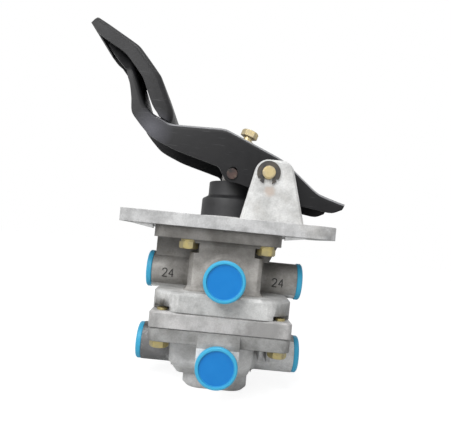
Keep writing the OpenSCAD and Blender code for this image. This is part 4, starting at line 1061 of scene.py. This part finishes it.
def fillet_band(name, box, radii, z, radius, way=1):
    """A cast fillet round a block's foot, or round its head where way is -1."""
    bm = bmesh.new()
    rings = [
        [bm.verts.new(Vector(point) * 0.001) for point in grown_outline(box, radii, off, z + way * rise)]
        for off, rise in fillet_profile(radius)
    ]
    for a, b in zip(rings, rings[1:] + rings[:1]):
        for i in range(len(a)):
            k = (i + 1) % len(a)
            bm.faces.new((a[i], a[k], b[k], b[i]))
    bmesh.ops.recalc_face_normals(bm, faces=bm.faces)
    mesh = bpy.data.meshes.new(name)
    bm.to_mesh(mesh)
    bm.free()
    return new_piece(name, mesh, 60)


def boss_fillet(name, boss_r, radius, side, face, z):
    """A cast fillet where a round boss leaves a flat face of a casting."""
    place = {
        "right": Matrix.Translation((face, 0, z)) @ Matrix.Rotation(math.pi / 2, 4, "Y"),
        "left": Matrix.Translation((-face, 0, z)) @ Matrix.Rotation(-math.pi / 2, 4, "Y"),
        "front": Matrix.Translation((0, -face, z)) @ Matrix.Rotation(math.pi / 2, 4, "X"),
    }[side]
    profile = [(boss_r + off, rise) for off, rise in fillet_profile(radius)]
    return turned(name, profile + profile[:1], place)


web_front = [(-25, -49.5), (-25, -9.5), (-8, -9.5)]
for i in range(13):
    a = math.radians(122.2 + (220 - 122.2) * i / 12)
    web_front.append((15 * math.cos(a), -38 + 15 * math.sin(a)))
web_front[-1] = (-9.63, -49.5)
web_cutter = prism("web_cutter", *[[(x, y, z) for y, z in web_front] for x in (-63, -29.02)])


def recast(node, fills, finish, cutter=None):
    """A copy of a cast node with cleaner faces, its fillets added and its shading evened out."""
    bm = bmesh.new()
    bm.from_mesh(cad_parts[node].data)
    bmesh.ops.remove_doubles(bm, verts=bm.verts, dist=1e-7)
    bmesh.ops.dissolve_limit(bm, angle_limit=math.radians(0.3), verts=bm.verts, edges=bm.edges)
    mesh = bpy.data.meshes.new(node + "_cast")
    bm.to_mesh(mesh)
    bm.free()
    piece = new_piece(node + "_cast", mesh)
    if cutter:
        boolean = piece.modifiers.new("cut", "BOOLEAN")
        boolean.object = cutter
        boolean.solver = "EXACT"
        settled(piece)
        drop(cutter)
    for fill in fills:
        taken_in(piece, fill)
    piece.data.shade_smooth()
    piece.data.set_sharp_from_angle(angle=math.radians(35))
    piece.data.materials.clear()
    piece.data.materials.append(finish)
    piece.modifiers.new("weighted", "WEIGHTED_NORMAL").keep_sharp = True
    settled(piece)
    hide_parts(node)
    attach(piece, "housing")


BLOCK_UP = (-29, 29, -42, 42)
upper_fills = [
    fillet_band("foot_fillet", BLOCK_UP, (4, 4, 4, 4), -49.5, 4.5),
    fillet_band("head_fillet", BLOCK_UP, (4, 4, 4, 4), -9.5, 2.5, -1),
    boss_fillet("left_fillet", 15, 4, "left", 0.029, -0.038),
    boss_fillet("right_fillet", 15, 4, "right", 0.029, -0.038),
    boss_fillet("front_fillet", 15, 4, "front", 0.042, -0.038),
]
recast("upper_body", upper_fills, upper_cast, web_cutter)

lower_fills = [
    fillet_band("lower_fillet", (-38, 30, -40, 40), (5, 16, 16, 5), -88, 4, -1),
    boss_fillet("low_left_fillet", 16, 3.5, "left", 0.038, -0.101),
    boss_fillet("low_right_fillet", 16, 3.5, "right", 0.030, -0.101),
]
for fill in lower_fills[1:]:
    for vert in fill.data.vertices:
        vert.co.z = max(vert.co.z, -0.1178)
recast("lower_body", lower_fills, lower_cast)


def numerals(name, digits, x, z, radius):
    """Stamped digits laid round the front of a side boss, each stroke a thin dark ribbon."""
    strokes = {
        "2": [(0, 5.4), (0.5, 6.6), (1.9, 7), (3.3, 6.5), (3.7, 5.3), (3.3, 4), (0, 0), (3.9, 0)],
        "4": [(2.9, 0), (2.9, 7), (0, 2.2), (3.9, 2.2)],
    }
    piece = None
    for place, digit in enumerate(digits):
        line = [Vector((u + 5.4 * place - 4.65, v - 4.9)) for u, v in strokes[digit]]
        fine = [a.lerp(b, k / 4) for a, b in zip(line, line[1:]) for k in range(4)] + [line[-1]]
        sections = []
        for i, spot in enumerate(fine):
            run = (fine[min(i + 1, len(fine) - 1)] - fine[max(i - 1, 0)]).normalized() * 0.5
            ring = []
            for side, reach in ((-1, -0.15), (1, -0.15), (1, 0.08), (-1, 0.08)):
                u, v = spot.x - side * run.y, spot.y + side * run.x
                turn = v / radius
                ring.append(
                    Vector((x + u, -(radius + reach) * math.cos(turn), z + (radius + reach) * math.sin(turn))) * 0.001
                )
            sections.append(ring)
        stroke = skinned(name, sections)
        if piece:
            taken_in(piece, stroke)
        else:
            piece = stroke
    return piece


stamp_dark = finish_of(
    "stamp_dark",
    "cast_skin",
    {"Light Skin": (0.07, 0.065, 0.06, 1), "Dark Skin": (0.02, 0.02, 0.02, 1), "Roughness": 0.6},
    edge=0.0,
)
for side, x in (("right", 45.3), ("left", -47.5)):
    stamp = numerals("port_number_" + side, "24", x, -38, 15)
    stamp.data.materials.append(stamp_dark)
    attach(stamp, "housing")

# Bolts: four into the bracket with spring washers, and four long ones up through the
# housing, all M8 with yellow zinc plating. Black socket screws hold the middle plate.

bolt_zinc = finish_of(
    "bolt_zinc",
    "plated_skin",
    {"Plating": (0.46, 0.38, 0.16, 1), "Second Tint": (0.36, 0.31, 0.17, 1), "Grime Share": 0.55},
    metallic=0.7,
    bump=0.00006,
    edge=0.0003,
)
bracket_bolts = grown(
    "bracket_bolts_turned",
    bolt_tree,
    {
        "Spacing X": 61.0, "Spacing Y": 76.0, "Across Flats": 13.0, "Head Height": 5.5,
        "Shank Diameter": 8.0, "Shank Length": 18.5, "Rows": 2,
    },
    bolt_zinc,
    Matrix.Translation((0, 0, -0.0115)),
)
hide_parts("bracket_bolts")
body_bolts = grown(
    "body_bolts_turned",
    bolt_tree,
    {
        "Spacing X": 91.0, "Spacing Y": 91.0, "Across Flats": 13.0, "Head Height": 5.5,
        "Shank Diameter": 8.0, "Shank Length": 24.6, "Rows": 2,
    },
    bolt_zinc,
    Matrix.Translation((0, 0, -0.088)),
)
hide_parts("body_bolts")
for bolts in (bracket_bolts, body_bolts):
    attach(bolts, "housing")
dress(bolt_zinc, "bracket_washers")
dress(dark_spring_steel, "plate_screws")

# Protective caps: soft blue plastic mouldings pushed into the ports until pipes are fitted.
# The thin rim lets more light through and looks paler than the disc.


def cap_skin():
    """Blue plastic that turns paler from the disc to the rim, measured from the cap's axis."""
    tree, given, made = shader_group(
        "cap_skin",
        [
            ("Disc", "NodeSocketColor", (0.002, 0.19, 0.56, 1)),
            ("Rim", "NodeSocketColor", (0.05, 0.40, 0.64, 1)),
            ("Across", "NodeSocketVector", (1, 0, 1)),
            ("Axis", "NodeSocketVector", (0, 0, 0)),
            ("Roughness", "NodeSocketFloat", 0.35),
        ],
        [("Colour", "NodeSocketColor"), ("Roughness", "NodeSocketFloat"), ("Height", "NodeSocketFloat")],
    )
    place = tree.nodes.new("ShaderNodeTexCoord").outputs["Object"]
    off = tree.nodes.new("ShaderNodeVectorMath")
    off.operation = "SUBTRACT"
    flat = tree.nodes.new("ShaderNodeVectorMath")
    flat.operation = "MULTIPLY"
    length = tree.nodes.new("ShaderNodeVectorMath")
    length.operation = "LENGTH"
    join(
        tree,
        (place, off.inputs[0]),
        (given.outputs["Axis"], off.inputs[1]),
        (off.outputs[0], flat.inputs[0]),
        (given.outputs["Across"], flat.inputs[1]),
        (flat.outputs[0], length.inputs[0]),
    )
    rim = band(tree, length.outputs["Value"], 0.0122, 0.0136)
    cloud = band(tree, noise(tree, place, 120.0, 3.0), 0.35, 0.75, 0.0, 0.06)
    tone = blend_colour(tree, rim, given.outputs["Disc"], given.outputs["Rim"])
    join(
        tree,
        (blend_colour(tree, cloud, tone, (0.05, 0.45, 0.85, 1)), made.inputs["Colour"]),
        (sums(tree, "ADD", given.outputs["Roughness"], cloud), made.inputs["Roughness"]),
        (noise(tree, place, 500.0, 2.0), made.inputs["Height"]),
    )
    return tree


effects["cap_skin"] = cap_skin()
for level, z in (("upper", -0.038), ("lower", -0.101)):
    for side, across in (("front", (1, 0, 1)), ("left", (0, 1, 1)), ("right", (0, 1, 1))):
        name = f"cap_{level}_{side}"
        dress(
            finish_of(name + "_blue", "cap_skin", {"Across": across, "Axis": (0, 0, z)}, bump=0.00008, edge=0.0005, ior=1.38),
            name,
        )

# Studio: a white floor that keeps a faint shadow, a white surround, two soft lamps, and the
# camera of the picture. None of it belongs to the object.

floor_mesh = bpy.data.meshes.new("floor")
low = cad_box[0][2]
floor_mesh.from_pydata([(-4, -4, low), (4, -4, low), (4, 4, low), (-4, 4, low)], [], [(0, 1, 2, 3)])
floor = bpy.data.objects.new("floor", floor_mesh)
bpy.context.scene.collection.objects.link(floor)
floor_white = bpy.data.materials.new("floor_white")
floor_white.use_nodes = True
floor_tree = floor_white.node_tree
floor_shader = floor_tree.nodes["Principled BSDF"]
floor_shader.inputs["Roughness"].default_value = 0.9
floor_ray = floor_tree.nodes.new("ShaderNodeLightPath")
join(
    floor_tree,
    (
        blend_colour(floor_tree, floor_ray.outputs["Is Camera Ray"], (0.80, 0.80, 0.79, 1), (0.30, 0.30, 0.30, 1)),
        floor_shader.inputs["Base Color"],
    ),
    (band(floor_tree, floor_ray.outputs["Is Camera Ray"], 0.0, 1.0, 0.0, 0.86), floor_shader.inputs["Emission Strength"]),
)
floor_shader.inputs["Emission Color"].default_value = (1, 1, 1, 1)
floor_mesh.materials.append(floor_white)

world = bpy.data.worlds.new("studio")
bpy.context.scene.world = world
world.use_nodes = True
sky = world.node_tree
lit = sky.nodes["Background"]
lit.inputs["Color"].default_value = (0.95, 0.97, 1.0, 1)
lit.inputs["Strength"].default_value = 0.22
seen = sky.nodes.new("ShaderNodeBackground")
seen.inputs["Color"].default_value = (1, 1, 1, 1)
ray = sky.nodes.new("ShaderNodeLightPath")
choice = sky.nodes.new("ShaderNodeMixShader")
plain_rays = sums(sky, "MAXIMUM", ray.outputs["Is Camera Ray"], ray.outputs["Is Transmission Ray"])
join(
    sky,
    (sums(sky, "MAXIMUM", plain_rays, ray.outputs["Is Glossy Ray"]), choice.inputs[0]),
    (lit.outputs[0], choice.inputs[1]),
    (seen.outputs[0], choice.inputs[2]),
    (choice.outputs[0], sky.nodes["World Output"].inputs["Surface"]),
)


def soft_lamp(name, place, aim, size, watts):
    """A square soft lamp at a place, aimed at a point."""
    lamp = bpy.data.lights.new(name, "AREA")
    lamp.size = size
    lamp.energy = watts
    holder = bpy.data.objects.new(name, lamp)
    holder.location = place
    holder.rotation_euler = (Vector(aim) - Vector(place)).to_track_quat("-Z", "Y").to_euler()
    bpy.context.scene.collection.objects.link(holder)


soft_lamp("key", (-0.42, -0.74, 0.56), (0, 0, 0), 0.7, 8.5)
soft_lamp("top", (0.1, -0.4, 1.1), (0, 0, 0), 0.4, 5)
soft_lamp("side", (0.8, -0.7, 0.0), (0, 0, 0), 0.6, 0.6)

ROLL = math.radians(5.5)
camera_data = bpy.data.cameras.new("camera")
camera_data.sensor_width = 36
camera_data.lens = 36 * 428 / 451
camera_data.shift_x = 2.43 / 451
camera_data.shift_y = 25.3 / 451
camera = bpy.data.objects.new("camera", camera_data)
right = Vector((math.cos(ROLL), 0, math.sin(ROLL)))
up = Vector((-math.sin(ROLL), 0, math.cos(ROLL)))
turn = Matrix((right, up, right.cross(up))).transposed()
camera.matrix_world = Matrix.Translation((-0.0041, -0.375, -0.0059)) @ turn.to_4x4()
bpy.context.scene.collection.objects.link(camera)
bpy.context.scene.camera = camera
bpy.context.scene.view_settings.view_transform = "Standard"
